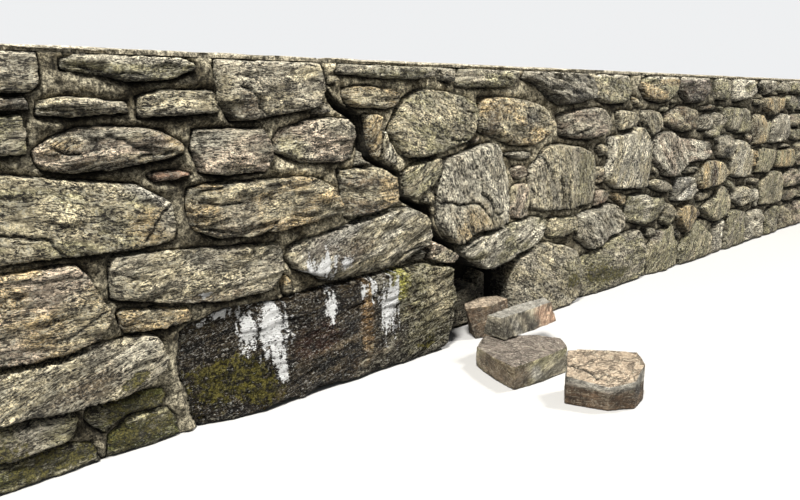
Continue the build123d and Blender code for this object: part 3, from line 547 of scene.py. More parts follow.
def rock_head(shape, loop, plane, out, rise, look, step, tail, seed):
    """Adds a facing stone: an outline in the plane, a rough layered head before it and a tail behind."""
    rng = np.random.default_rng(seed)
    line = rounded(loop, look.corner, step)
    ring = at3(*line.T, seed * 0.37)
    wander = 0.004 * fractal(ring / 0.07, 2, seed) - 0.006 * np.abs(noise(ring / 0.035, seed + 1)) ** 1.5
    wander += 0.0022 * noise(ring / 0.014, seed + 2) + 0.002
    line = line + outward(line) * wander[:, None]
    points, faces, d = filled(line, step, rng)
    x, z = points[:, 0], points[:, 1]
    middle = line.mean(0)
    u, v = look.across(x, z, middle)
    v = v + 0.022 * fractal(at3(u / 0.22, v / 0.12, seed * 1.7), 2, seed + 5) * min(look.layers, 1.6)
    height = head_height(points, middle, d, rise, look, rng, seed)
    relief, shade = layered(u, v, seed)
    rough = fractal(at3(x / 0.03, z / 0.03, seed * 0.9), 3, seed + 31)
    cover = ramp(0.0, 0.008, d)
    broad = 0.011 * fractal(at3(u / 0.17, v / 0.11, seed), 3, seed + 9)
    height += cover * (broad + look.layers * relief + 0.0034 * rough)
    fissure_cut_and_shade = np.zeros(len(points))
    for track, wide, deep in look.fissures:
        wide = max(wide, LEAST_FISSURE * step)
        gap = gap_to(points, track, MM, 0.004, 0.02, seed)
        height -= cover * deep * (1.0 - ramp(0.0, wide, gap))
        fissure_cut_and_shade = np.maximum(fissure_cut_and_shade, 1.0 - ramp(wide * 0.35, wide, gap))
    height = np.clip(height, DEEPEST, None)

    tone, stain = coloured(x, z, u, v, d, shade, rough, look, seed)
    # Painted shade darkens the fissures.
    tone *= (1.0 - 0.9 * fissure_cut_and_shade)[:, None]
    # The capping's cement runs down over the top stones.
    crest = CEMENT_FOOT_Z + 0.012 * fractal(at3(x / 0.12, z / 0.3, 6.0), 3, 91)
    smear = ramp(-0.006, 0.004, z - crest) * (0.45 + 0.55 * ramp(-0.5, 0.1, x))
    tone = blended(tone, CEMENT_TONE * (1.0 + 0.5 * rough[:, None]), smear)
    # Painted shade on the stone's underside and a painted highlight on its upper edge.
    rim = np.nonzero(d < RIM)[0]
    under_shade = ramp(0.012, -0.002, reach_to(points[rim] - UNDER_RIM, line))
    top_highlight = ramp(0.008, -0.004, reach_to(points[rim] + UPPER_RIM, line))
    tone[rim] *= ((1.0 - 0.45 * under_shade) * (1.0 + 0.16 * top_highlight))[:, None]
    grain = look.grain(u, v, seed * 0.13 + height)

    n, total = len(line), len(points)
    place = at3(x, plane + out * height, z)
    place[:n, 1] = plane
    root = at3(line[:, 0], plane - out * HEAD_ROOT, line[:, 1])
    end = middle + (line - middle) * TAIL_SHRINK
    end = at3(end[:, 0], tail, end[:, 1])
    hub = total + 2 * n
    faces = faces + band(0, total, n) + band(total, total + n, n)
    faces += [[total + n + (i + 1) % n, total + n + i, hub] for i in range(n)]
    # Painted shade on the stone's sides and tail: darker further back, near black at the end.
    side_shade_tone = tone[:n] * 0.22
    tone = np.vstack([tone, side_shade_tone, side_shade_tone * 0.3, tone[:1] * 0.1])
    stain = np.vstack([stain, stain[:n], stain[:n], stain[:1]])
    grain = np.vstack([grain, grain[:n] + [0, 0, 0.03], grain[:n] + [0, 0, 0.1], grain[:1]])
    shape.add(np.vstack([place, root, end, [[middle[0], tail, middle[1]]]]),
              [f if out < 0 else f[::-1] for f in faces], tone=tone, stain=stain, grain=grain)


# The look of each stone

# Each entry: middle of the stone on the facing, in millimetres, and its look.
LOOKS = {
    (258, 185): Look("olive", "grey", 6, edge=30, corner=30, patches=[("moss", 150, 150, 120, 60),
        ("pale", 300, 225, 90, 25, 5)]),
    (290, 53): Look("olive", "moss", edge=20, patches=[("moss", 330, 60, 200, 50)]),
    (613, 169): Look("olive", "moss", edge=20, patches=[("moss", 640, 180, 150, 60)]),
    (667, 70): Look("olive", "moss", edge=20, patches=[("moss", 660, 80, 150, 60)]),
    (295, 616): Look("ochre", "pink", -4, edge=12, facets=2, patches=[("grey", 130, 560, 120, 90),
        ("tan", 480, 560, 90, 120)], fissures=[([(380, 510), (450, 530), (560, 590)], 6, 9)]),
    (413, 352): Look("grey", "tan", 14, 1.2, edge=14, facets=2, patches=[("pale", 640, 380, 100, 70, 20),
        ("brown", 480, 330, 150, 50, 10), ("moss", 640, 300, 90, 25, 25)]),
    (756, 517): Look("tan", "ochre", 2, 1.1, edge=12, facets=2),
    (962, 649): Look("tan", "grey", 3, 1.3, edge=14, facets=2, patches=[("brown", 900, 545, 260, 30, 3),
        ("lime", 960, 568, 30, 16)]),
    (485, 946): Look("tan", "olive", -8, 0.55, edge=10, corner=16, facets=3,
        patches=[("ochre", 770, 880, 100, 90), ("vein", 758, 993, 95, 36, -22), ("pale", 830, 900, 40, 70)],
        fissures=[([(150, 915), (255, 905), (330, 890), (400, 875), (412, 850), (440, 815)], 7, 16),
        ([(860, 965), (800, 925), (765, 860), (735, 825)], 6, 10)]),
    (656, 1166): Look("tan", "pink", 3, 1.7, edge=20, facets=2, patches=[("ochre", 892, 1180, 60, 26, -30),
        ("pale", 560, 1215, 150, 20, 5), ("ochre", 480, 1185, 70, 30, 10), ("brown", 620, 1120, 180, 26, 3)],
        fissures=[([(723, 1132), (756, 1141), (806, 1131), (852, 1146)], 5, 14), ([(625, 1215), (677, 1200),
        (716, 1171), (779, 1157)], 4.5, 11), ([(428, 1185), (474, 1163), (529, 1154)], 4.5, 11)]),
    (248, 1226): Look("grey", "olive", edge=14),
    (258, 1325): Look("brown", "dark", 0, 1.2),
    (562, 1314): Look("tan", "grey", 0, 1.6),
    (901, 1325): Look("grey", "tan", 0, 1.2),
    (238, 1424): Look("grey", "tan", edge=20),
    (745, 1446): Look("olive", "dark", 2, 1.7, patches=[("pale", 760, 1475, 220, 14)],
        fissures=[([(560, 1447), (643, 1424), (720, 1428), (800, 1424)], 5, 12)]),
    (1122, 1132): Look("pink", "grey", 0, 1.1, edge=14, patches=[("pale", 1010, 1190, 90, 40)]),
    (1321, 1373): Look("grey", "tan", 4, edge=12, facets=3, patches=[("brown", 1180, 1320, 50, 50, -40)],
        fissures=[([(1147, 1386), (1189, 1372), (1222, 1349), (1238, 1307), (1268, 1280),
        (1304, 1268)], 6, 16)]),
    (1285, 897): Look("tan", "ochre", 4, 2.0, edge=14, facets=3, patches=[("grey", 1100, 880, 90, 60),
        ("brown", 1130, 820, 170, 24)], fissures=[([(916, 861), (963, 840), (1019, 821), (1096, 811)], 6, 16),
        ([(1201, 772), (1258, 802), (1288, 827)], 6, 16), ([(957, 989), (1030, 994), (1125, 1012),
        (1204, 1010)], 5, 12), ([(953, 944), (1043, 927), (1129, 926)], 5, 12)]),
    (1831, 904): Look("tan", "brown", -2, 1.1, edge=12, patches=[("ochre", 1930, 900, 70, 100),
        ("umber", 1610, 920, 22, 110)], fissures=[([(1636, 1015), (1645, 963), (1649, 892),
        (1651, 822)], 6, 10)]),
    (1537, 1157): Look("pink", "grey", 2, 0.9, edge=16, patches=[("olive", 1390, 1130, 70, 60, 50)]),
    (1860, 1345): Look("tan", "ochre", 0, 0.8, edge=30, corner=40),
    (1858, 1165): Look("tan", "ochre", 60),
    (1963, 1101): Look("pale", "tan", 70, 0.8),
    (1949, 1460): Look("grey", "olive", 0, 1.2),
    (1787, 657): Look("pale", "tan", 17, 1.5, edge=14, facets=2, patches=[("umber", 1690, 640, 150, 60, 18),
        ("plum", 1560, 690, 150, 50, 18), ("lime", 1510, 592, 110, 66, 15), ("lime", 1655, 590, 32, 40, 15),
        ("black", 1480, 545, 130, 50, 4), ("vein", 1640, 722, 150, 28, 17)], fissures=[([(1990, 538),
        (2032, 574), (2085, 588), (2173, 596)], 8, 12)]),
    (1622, 250): Look("black", "dark", 8, 0.9, edge=30, corner=50, facets=4,
        patches=[("olive", 2200, 330, 230, 230), ("tan", 2270, 330, 120, 150), ("wine", 1470, 250, 120, 80),
        ("brown", 1750, 100, 160, 36, 5), ("amber", 1765, 300, 36, 160), ("sulphur", 1975, 430, 60, 90),
        ("lime", 940, 438, 16, 18), ("lime", 1025, 465, 70, 24, 5), ("lime", 1190, 498, 56, 22),
        ("lime", 1142, 378, 48, 120), ("lime", 1255, 350, 84, 175), ("lime", 1280, 180, 34, 80),
        ("lime", 1552, 410, 36, 85), ("lime", 1742, 440, 26, 55), ("lime", 1798, 455, 27, 62),
        ("lime", 1915, 330, 76, 185), ("pale", 1584, 202, 170, 13, 10), ("pale", 1536, 93, 70, 12, 8),
        ("tan", 1265, 72, 60, 40), ("grey", 1851, 90, 60, 30, 20), ("moss", 2174, 70, 70, 34, 10),
        ("moss", 1040, 170, 190, 115), ("moss", 1180, 110, 110, 85), ("wet", 1300, 250, 620, 300)]),
    (2325, 535): Look("pink", "tan", 10, 0.7),
    (2274, 1216): Look("tan", "olive", -20, 0.7, edge=40, corner=50, dome=12, facets=3,
        fissures=[([(2164, 1395), (2184, 1350)], 9, 15), ([(2440, 1300), (2475, 1275), (2530, 1262)], 9, 15),
        ([(2370, 1132), (2440, 1118), (2490, 1125)], 9, 12)]),
    (2188, 940): Look("olive", "tan", 30, 0.7, edge=14),
    (2230, 841): Look("pale", "tan", -60, 0.8),
    (2598, 824): Look("pale", "grey", -60, 0.6, edge=18, corner=30, facets=3,
        patches=[("ochre", 2560, 650, 150, 110), ("tan", 2740, 640, 70, 90)], fissures=[([(2297, 803),
        (2362, 801), (2437, 778), (2513, 780), (2592, 772), (2651, 717), (2686, 681), (2712, 639)], 11, 20),
        ([(2606, 829), (2664, 797), (2707, 755), (2717, 710), (2761, 689), (2811, 699)], 11, 18)]),
    (2854, 505): Look("olive", "pale", 20, 1.2, edge=14, facets=3),
    (3288, 227): Look("grey", "tan", -30, 0.6, edge=40, corner=60, facets=4,
        patches=[("moss", 3520, 160, 80, 50), ("olive", 3520, 230, 120, 90)]),
    (2339, 1455): Look("grey", "dark"),
    (2674, 1442): Look("olive", "grey", 0, 1.1),
    (2954, 1205): Look("ochre", "tan", -10, 0.5, edge=50, corner=60, dome=10, facets=3,
        patches=[("dark", 3040, 1230, 70, 60), ("brown", 2680, 1180, 60, 110)], fissures=[([(2950, 1298),
        (2991, 1223), (3022, 1157)], 6, 8)]),
    (3354, 1395): Look("dark", "grey", -14, 2.0, edge=30, facets=3, patches=[("grey", 3080, 1400, 110, 80),
        ("black", 3500, 1350, 160, 40, -12), ("pale", 3400, 1445, 240, 26, -12),
        ("pale", 3270, 1385, 170, 20, -14), ("pale", 3600, 1385, 120, 24, -10)], fissures=[([(3640, 1460),
        (3655, 1400), (3640, 1340)], 20, 20)]),
    (3659, 1177): Look("pink", "grey", 4, 0.9, edge=20, facets=4, fissures=[([(3400, 1108), (3520, 1122),
        (3660, 1150)], 8, 12)]),
    (3433, 851): Look("grey", "tan", -70, 0.7, edge=16, corner=30, facets=3,
        patches=[("olive", 3650, 850, 110, 170)], fissures=[([(3355, 842), (3382, 768), (3403, 693)], 22, 30),
        ([(3458, 737), (3486, 660)], 18, 20), ([(3174, 994), (3216, 946), (3271, 884)], 14, 12)]),
    (2998, 741): Look("pink", "tan", 70, 0.7),
    (2983, 914): Look("pink", "brown", 0, 0.7),
    (2964, 1012): Look("grey", "pale", 3, 1.4),
    (3436, 533): Look("olive", "tan", 4, 0.9),
    (3902, 479): Look("pale", "grey", -40, edge=20, facets=4),
    (3973, 1395): Look("olive", "tan", -8, 0.5, edge=50, corner=60, dome=10),
    (4595, 1397): Look("ochre", "olive", 0, 0.8, edge=30, corner=40),
    (5171, 1394): Look("umber", "plum", 0, 0.9, edge=30, patches=[("black", 5120, 1350, 80, 40)]),
    (4222, 915): Look("pale", "tan", 70, 0.4, edge=12, corner=30, facets=2,
        patches=[("pale", 4240, 900, 60, 160, 8)]),
    (4810, 915): Look("pink", "pale", -50, edge=30, corner=50, facets=4),
    (4504, 533): Look("pale", "olive", 5, patches=[("olive", 4620, 520, 100, 120)]),
    (4110, 197): Look("olive", "grey", -6, 0.6, edge=40, corner=60, patches=[("moss", 3900, 150, 170, 80),
        ("moss", 4050, 110, 200, 60)]),
    (5220, 374): Look("ochre", "umber", 70, edge=20),
    (5344, 930): Look("pink", "pale", -10, 1.2, edge=20),
}

# Further stones: a point inside the stone and its look.
SEEN = {
    (841, 1057): Look("pink", "rust", 0, 1.2, edge=12),
    (5558, 1406): Look("olive", "grey", 0, 0.8, edge=20, corner=20),
    (5971, 1409): Look("pale", "olive", 10, edge=20, corner=20),
    (6499, 1427): Look("grey", "pale", -20, edge=16),
    (4877, 1188): Look("brown", "tan", -10, 0.5, edge=50, corner=60, dome=10, facets=3),
    (5423, 1118): Look("pale", "grey", 40, 1.5, edge=16, facets=4),
    (5902, 1146): Look("olive", "grey", 70, edge=18, corner=20),
    (5533, 700): Look("ochre", "tan", 86, 0.5, edge=18, corner=20, patches=[("umber", 5560, 700, 40, 210),
        ("umber", 5562, 700, 26, 200)]),
    (5011, 636): Look("vein", "pale", 20, 1.9, edge=16, facets=4),
    (6057, 820): Look("pale", "tan", 60, 0.9, edge=20),
    (4113, 1193): Look("tan", "grey", 40, edge=14, corner=14),
    (4449, 1168): Look("tan", "grey", -50, edge=14, corner=14),
    (4640, 694): Look("grey", "tan", 4, 1.3, edge=14),
    (3896, 673): Look("pink", "tan", 60, 0.6, edge=14, patches=[("rust", 3896, 650, 40, 30)]),
    (5672, 448): Look("tan", "olive", 50, 0.6, edge=30, corner=30),
    (6205, 468): Look("tan", "pale", 0, 0.8, edge=18),
    (6598, 773): Look("olive", "tan", 80, 0.8, edge=18),
    (7122, 774): Look("olive", "ochre", 80, 0.6, edge=20),
    (6805, 490): Look("tan", "olive", 70, 0.8, edge=18),
    (4778, 269): Look("tan", "olive", 60, 0.8, edge=20, patches=[("plum", 4700, 330, 60, 70)]),
    (5325, 235): Look("olive", "tan", 60, 0.7, edge=20),
    (6075, 270): Look("grey", "olive", 60, 0.6, edge=30),
    (6417, 1053): Look("tan", "ochre", 82, edge=16, patches=[("umber", 6390, 1060, 20, 120)]),
    (6906, 1038): Look("pale", "grey", 80, edge=16),
    (6689, 1264): Look("ochre", "tan", 84, 0.9, edge=16),
}

MIXES = [("tan", "grey"), ("grey", "tan"), ("olive", "tan"), ("tan", "ochre"), ("pale", "grey"),
         ("grey", "dark"), ("pink", "tan"), ("olive", "grey"), ("tan", "brown"), ("grey", "olive")]
SAME_PLACE = 22.0
ROUNDER_FROM, ROUNDER_TO = 3200.0, 5200.0
FAR_RIGHT = 1e5


def look_for(middle, seed, loop=None):
    """The look of the stone with that middle, in metres, and with the loop as its outline."""
    px, pz = (middle[0] - FACING_ZERO_X) * MM, middle[2] * MM
    for (lx, lz), look in LOOKS.items():
        if abs(lx - px) < SAME_PLACE and abs(lz - pz) < SAME_PLACE:
            return look
    for point, look in SEEN.items() if loop is not None else ():
        if reach_to(np.array([point]) / MM + [FACING_ZERO_X, 0.0], loop)[0] > 0.0:
            return look
    return chance_look(px, seed)


def chance_look(px, seed):
    """A random look, rounder towards the right end of the wall."""
    rng = np.random.default_rng(seed + 7)
    main, other = MIXES[rng.integers(len(MIXES))]
    rounder = ramp(ROUNDER_FROM, ROUNDER_TO, px)
    return Look(main, other, slope=rng.normal(0, 14), layers=rng.uniform(0.6, 1.3),
                edge=11 + 20 * rounder, corner=8 + 30 * rounder, facets=int(rng.integers(3, 6)))


# Materials

def rgba(*rgb):
    return (*linear(rgb), 1.0)


class Value:
    """An output in a node tree, with plain arithmetic for numbers."""

    def __init__(self, nodes, socket):
        self.nodes = nodes
        self.socket = socket

    def __add__(self, other):
        return self.nodes.maths("ADD", self, other)

    def __sub__(self, other):
        return self.nodes.maths("SUBTRACT", self, other)

    def __mul__(self, other):
        return self.nodes.maths("MULTIPLY", self, other)

    def __abs__(self):
        return self.nodes.maths("ABSOLUTE", self)

    def step(self, low, high, to_low=0.0, to_high=1.0):
        """A smooth step from to_low, where the value is low, to to_high, where it is high."""
        return self.nodes.add("MapRange", {"Value": self, "From Min": low, "From Max": high,
                                           "To Min": to_low, "To Max": to_high},
                              interpolation_type="SMOOTHSTEP")


class Nodes:
    """A node tree that starts empty, with short ways to add nodes to it."""

    def __init__(self, owner):
        owner.use_nodes = True
        self.tree = owner.node_tree
        self.tree.nodes.clear()

    def add(self, kind, inputs=None, output=0, **settings):
        """Adds a node, its inputs set to numbers or linked to values, and gives one of its outputs."""
        n = self.tree.nodes.new("ShaderNode" + kind)
        for key, value in settings.items():
            setattr(n, key, value)
        for key, value in (inputs or {}).items():
            if isinstance(value, Value):
                self.tree.links.new(value.socket, n.inputs[key])
            else:
                n.inputs[key].default_value = value
        return Value(self, n.outputs[output]) if n.outputs else None

    def maths(self, operation, a, b=0.0):
        return self.add("Math", {0: a, 1: b}, operation=operation)

    def noise(self, vector, scale, detail, roughness, distortion=0.0):
        return self.add("TexNoise", {"Vector": vector, "Scale": scale, "Detail": detail,
                                     "Roughness": roughness, "Distortion": distortion}, "Fac")

    def mix(self, factor, a, b, blend="MIX"):
        return self.add("Mix", {0: factor, 6: a, 7: b}, 2, data_type="RGBA", blend_type=blend)

    def lit(self, colour, light):
        """The colour multiplied by a plain number."""
        grey = self.add("CombineColor", {"Red": light, "Green": light, "Blue": light})
        return self.mix(1.0, colour, grey, "MULTIPLY")

    def attribute(self, name, output):
        return self.add("Attribute", output=output, attribute_name=name)

    def place(self):
        return self.add("TexCoord", output="Object")

    def surface(self, colour, roughness, gloss, height=None, relief=0.0):
        """A principled surface, with the height as its bump."""
        inputs = {"Base Color": colour, "Roughness": roughness, "Specular IOR Level": gloss}
        if height is not None:
            inputs["Normal"] = self.add("Bump", {"Height": height, "Strength": 1.0, "Distance": relief})
        return self.add("BsdfPrincipled", inputs)


LICHEN = rgba(198, 195, 178)
FLECK = rgba(206, 203, 188)
# The lip colour is a painted highlight; the crevice and pit colours are painted shade.
LIP_HIGHLIGHT = rgba(204, 198, 176)
CREVICE_SHADE = rgba(24, 20, 15)
PIT_SHADE = rgba(44, 38, 30)
SOAKED = rgba(150, 138, 124)
# The glint colour is a painted highlight on wet stone.
GLINT_HIGHLIGHT = rgba(196, 196, 190)
LIME = rgba(244, 244, 242)
MOSS_SHADE, MOSS_TIP = rgba(20, 21, 10), rgba(116, 108, 46)
DRY_ROUGHNESS, WET_ROUGHNESS = 0.88, 0.36
BRIGHTEST = 2.3


def rock_material(name, grit, ripple, relief, marks_and_shading=1.0, gloss=0.3):
    """Rough stone whose tone and stains come with the mesh and whose grain follows its layers."""
    m = bpy.data.materials.new(name)
    k = Nodes(m)
    stains = k.attribute("stain", "Color")
    moss, lime, wet = (k.add("SeparateColor", {"Color": stains}, column) for column in range(3))
    grain = k.attribute("grain", "Vector")
    place = k.place()
    ribs = k.noise(grain, 38.0, 6.0, 0.72, 1.3)
    beds = k.noise(grain, 13.0, 3.0, 0.55, 0.8)
    specks = k.noise(place, 105.0, 3.0, 0.75)
    spots = k.noise(place, 42.0, 5.0, 0.72)
    rugged = k.noise(place, 7.0, 2.0, 0.5).step(0.36, 0.58, 0.5, 1.0)

    light = ribs.step(0.41, 0.59, 1.0 - ripple, 1.0 + ripple) * specks.step(0.41, 0.6, 1.0 - grit, 1.0 + grit)
    light = light * spots.step(0.4, 0.58, 1.0 - 0.5 * marks_and_shading, 1.0 + 0.4 * marks_and_shading)
    light = k.maths("MINIMUM", light, BRIGHTEST)
    light = (light - 1.0) * rugged + 1.0
    colour = k.lit(k.attribute("tone", "Color"), light)
    colour = k.mix(spots.step(0.54, 0.64, 0.0, 0.55 * marks_and_shading), colour, LICHEN)
    colour = k.mix(specks.step(0.58, 0.66, 0.0, 0.75 * marks_and_shading) * rugged, colour, FLECK)
    # Thin broken crevices follow the layers: painted shade in each crevice and a painted highlight on a lip
    # beside it.
    crevice_and_shade = abs(beds - 0.5).step(0.06, 0.018) * ribs.step(0.57, 0.47)
    lip_highlight = abs(beds - 0.565).step(0.05, 0.015) * ribs.step(0.44, 0.54)
    colour = k.mix(lip_highlight * (0.55 * marks_and_shading), colour, LIP_HIGHLIGHT)
    colour = k.mix(crevice_and_shade * (0.97 * marks_and_shading ** 1.6), colour, CREVICE_SHADE)
    # Painted shade in the low pits of the grain.
    colour = k.mix(ribs.step(0.42, 0.34, 0.0, 0.9 * marks_and_shading), colour, PIT_SHADE)

    wet_here = (wet + spots * 0.5).step(0.45, 0.75)
    colour = k.mix(wet_here, colour, k.mix(1.0, colour, SOAKED, "MULTIPLY"))
    # Painted glints: small painted highlights on the wet parts.
    painted_glint = ribs.step(0.52, 0.59) * specks.step(0.49, 0.57)
    colour = k.mix(painted_glint * wet_here * 0.85, colour, GLINT_HIGHLIGHT)
    lime_line = lime + (ribs - 0.5) * 2.6 + (specks - 0.5) * 1.8
    colour = k.mix(lime_line.step(0.5, 0.82), colour, LIME)
    moss_here = (moss + (spots - 0.5) * 4.0).step(0.45, 0.95, 0.0, 0.9)
    tuft = spots.step(0.42, 0.58) * specks.step(0.42, 0.58, 0.15, 1.0)
    colour = k.mix(moss_here, colour, k.mix(tuft, MOSS_SHADE, MOSS_TIP))

    height = ribs + specks * 0.4 + spots * 0.5 - crevice_and_shade * 0.8 + moss_here * 0.4
    roughness = wet_here.step(0.0, 1.0, DRY_ROUGHNESS, WET_ROUGHNESS)
    k.add("OutputMaterial", {"Surface": k.surface(colour, roughness, gloss, height, relief)})
    return m


stone_material = rock_material("weathered_stone", 0.66, 0.7, 0.03)
dark_material = rock_material("wet_stone", 0.75, 0.75, 0.036, gloss=0.1)
split_material = rock_material("split_stone", 0.2, 0.32, 0.012, marks_and_shading=0.35)


def mortar_material(name, low, high, scale, relief, shaded=False):
    m = bpy.data.materials.new(name)
    k = Nodes(m)
    place = k.place()
    wide = k.noise(place, scale, 6.0, 0.65)
    sand = k.noise(place, 120.0, 3.0, 0.75)
    pits = k.noise(place, 48.0, 5.0, 0.72)
    light = sand.step(0.4, 0.6, 0.45, 1.55) * pits.step(0.4, 0.58, 0.28, 1.25)
    # The joints' depth attribute brings their painted shade into the colour.
    if shaded:
        light = light * k.attribute("depth", "Fac")
    colour = k.lit(k.mix(wide.step(0.38, 0.62), rgba(*low), rgba(*high)), light)
    k.add("OutputMaterial", {"Surface": k.surface(colour, 0.95, 0.2, wide + sand * 0.3 + pits * 0.8, relief)})
    return m


joint_material = mortar_material("old_mortar", (72, 66, 52), (158, 150, 128), 6.5, 0.03, shaded=True)
cement_material = mortar_material("capping_cement", (134, 127, 109), (166, 158, 139), 9.0, 0.012)
# The hearting is painted near black, as shade deep inside the crack and the pocket.
hearting_shade_material = mortar_material("hearting_painted_shade", (16, 14, 11), (30, 26, 21), 14.0, 0.02)


# Stones

FINE_STEP, MIDDLE_STEP, COARSE_STEP, BACK_STEP = 0.0072, 0.0095, 0.013, 0.024
NEAR_END_X, MIDDLE_END_X = -0.6, 1.5
QUICK_SPACING = 1.0
QUICK_VOXEL = 1.0
BACK_SET_IN = 0.018
SPLIT_PITCH = 0.022

outlines = {True: [], False: []}


def seed_of(middle):
    return int(round((middle[0] + 10.0) * 971)) * 13 + int(round(middle[2] * 1000)) % 1009


def step_for(x):
    """Point spacing of the facing: finer where the picture was taken from close by."""
    return (FINE_STEP if x < NEAR_END_X else MIDDLE_STEP if x < MIDDLE_END_X else COARSE_STEP) * QUICK_SPACING


def dress(name, front):
    """Gives each facing stone of a node its rough head."""
    shape = Shape()
    for points, faces in islands(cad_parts[name]):
        loop = outline_at(points, faces, FRONT_MORTAR_Y if front else BACK_MORTAR_Y)
        middle = (points.min(0) + points.max(0)) / 2
        seed = seed_of(middle)
        if front:
            rock_head(shape, loop, FRONT_MORTAR_Y, -1.0, FRONT_MORTAR_Y - points[:, 1].min(),
                      look_for(middle, seed, loop), step_for(middle[0]), FRONT_TAIL_Y, seed)
        else:
            rock_head(shape, loop, BACK_MORTAR_Y, 1.0, points[:, 1].max() - BACK_MORTAR_Y - BACK_SET_IN,
                      chance_look(FAR_RIGHT, seed), BACK_STEP, BACK_TAIL_Y, seed)
        outlines[front].append(loop)
    shape.finish(name, dark_material if name == "footing_boulder" else stone_material)


def remeshed(points, faces, voxel):
    """A solid as a fine, slightly smoothed mesh: its points, their normals and its faces."""
    obj = placed("rough", mesh_of("rough", points.tolist(), faces))
    remesh = obj.modifiers.new("remesh", "REMESH")
    remesh.mode = "VOXEL"
    remesh.voxel_size = voxel * QUICK_VOXEL
    smooth = obj.modifiers.new("smooth", "SMOOTH")
    smooth.iterations = 3
    smooth.factor = 0.6
    fine = bpy.data.meshes.new_from_object(obj.evaluated_get(bpy.context.evaluated_depsgraph_get()))
    rows = []
    for value in ("co", "normal"):
        row = np.zeros(len(fine.vertices) * 3)
        fine.vertices.foreach_get(value, row)
        rows.append(row.reshape(-1, 3))
    tris = [list(p.vertices) for p in fine.polygons]
    bpy.data.objects.remove(obj)
    return rows[0], rows[1], tris


def rubble(name, voxel, rough, look, material):
    """Pieces seen all round: each solid is remeshed finely and roughened."""
    shape = Shape()
    for points, faces in islands(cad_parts[name]):
        co, no, tris = remeshed(points, faces, voxel)
        middle = (points.min(0) + points.max(0)) / 2
        seed = seed_of(middle)
        here_look = look or look_for(middle, seed)
        u, v = here_look.across(co[:, 0], co[:, 2], middle[[0, 2]])
        v = v + 0.012 * fractal(co / 0.16, 2, seed + 5)
        part, here, above = beds(v / SPLIT_PITCH, 0.7, lambda key: at3(u / 0.08, co[:, 1] / 0.08, key), seed)
        shade = here * (1 - part) + above * part
        grit = fractal(co / 0.03, 3, seed + 31)
        push = 0.9 * fractal(co / 0.11, 2, seed + 9) + 0.5 * here_look.layers * shade + 0.35 * grit - 0.8
        co = co + no * (rough * push)[:, None]
        groove_shade = np.zeros(len(co))
        for track, wide, deep in here_look.fissures:
            gap = gap_to(co[:, :2], track, [MM, -MM], 0.003, 0.012, seed)
            fissure_cut_and_shade = (1.0 - ramp(0.3 * wide, wide, gap)) * ramp(0.3, 0.7, no[:, 2])
            groove_shade = np.maximum(groove_shade, fissure_cut_and_shade)
            co[:, 2] -= deep * fissure_cut_and_shade
        co = np.clip(co, points.min(0), points.max(0))
        tone, stain = coloured(co[:, 0], co[:, 2], u, v, np.ones(len(co)), shade * 0.6, grit, here_look, seed)
        if here_look.top:
            upward = ramp(0.55, 0.8, no[:, 2] + 0.08 * grit)
            tone = blended(tone, TONES[here_look.top] * (1.0 + 0.3 * grit[:, None]), upward)
        # Painted shade darkens the fissures' grooves.
        tone = tone * (1.0 - 0.85 * groove_shade[:, None])
        shape.add(co, tris, tone=tone, stain=stain, grain=here_look.grain(u, v, co[:, 1]))
    shape.finish(name, material)


# Pieces seen all round: spacing of their points and roughness, in metres.
ALL_ROUND = {"left_quoins": (0.012, 0.006), "right_quoins": (0.014, 0.006), "pocket_stones": (0.008, 0.005)}
FALLEN = {"fallen_chip": (0.0055, 0.004), "fallen_slab": (0.0055, 0.004), "fallen_block": (0.006, 0.004),
          "lying_stone": (0.0065, 0.005)}
FALLEN_LOOKS = {
    "fallen_chip": Look("umber", "brown", 10, top="beige"),
    "fallen_slab": Look("grey", "dark", 62, 1.6, top="vein", patches=[("black", 2440, 130, 30, 100, 20),
        ("vein", 2520, 120, 30, 100, 25), ("black", 2590, 150, 26, 100, 20),
        ("rust", 2745, 160, 85, 120, 15)]),
    "fallen_block": Look("umber", "black", 6, 1.4, top="beige", patches=[("vein", 2330, 118, 130, 30, 4),
        ("vein", 2500, 130, 70, 34, -8)], fissures=[([(2278, 1085), (2302, 1143), (2312, 1195),
        (2300, 1225)], 8, 8), ([(2300, 1225), (2345, 1240), (2372, 1300)], 6, 5)]),
    "lying_stone": Look("olive", "grey", 24, 1.2, top="plum", patches=[("umber", 2185, 60, 75, 110),
        ("dark", 2420, 35, 160, 26, 8), ("vein", 2300, 60, 30, 40, 30)]),
    "pocket_stones": Look("grey", "dark", 4, 0.7),
}
NOT_STONE = {"left_face_mortar", "right_face_mortar", "back_mortar", "left_capping", "right_capping",
             "hearting"}

for name in sorted(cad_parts):
    if name in FALLEN:
        rubble(name, *FALLEN[name], FALLEN_LOOKS[name], split_material)
    elif name in ALL_ROUND:
        rubble(name, *ALL_ROUND[name], FALLEN_LOOKS.get(name), stone_material)
    elif name not in NOT_STONE:
        dress(name, front=not name.startswith("back_course"))

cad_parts["hearting"].data.materials.clear()
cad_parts["hearting"].data.materials.append(hearting_shade_material)


# Mortar

# Places where the joint is raked out deep: middle and half sizes on the facing, in millimetres.
DEEP_JOINTS = [(6410, 1395, 120, 60), (4525, 340, 60, 55), (5475, 330, 130, 60), (2420, 330, 40, 60)]
DEEP_RAKE = 0.07
OVERHANG = 0.02
HIDDEN_DEPTH = 0.014
QUICK_SHEET = 1.0


def stone_cover(points, loops, margin=0.07):
    """How far each point lies inside the nearest stone, or minus its distance from it."""
    cover = np.full(len(points), -margin)
    for loop in loops:
        low, high = loop.min(0) - margin, loop.max(0) + margin
        near = np.nonzero(((points > low) & (points < high)).all(1))[0]
        if len(near):
            cover[near] = np.maximum(cover[near], reach_to(points[near], loop))
    return cover


def overhung(points, loops):
    """How much each point is under a stone: 1 right below one, 0 when none is close above it."""
    lifts = [stone_cover(points + [0.004, share * OVERHANG], loops, 0.03) > 0.0 for share in (0.35, 0.7, 1.0)]
    return np.max([hit * weight for hit, weight in zip(lifts, (1.0, 0.7, 0.4))], axis=0)


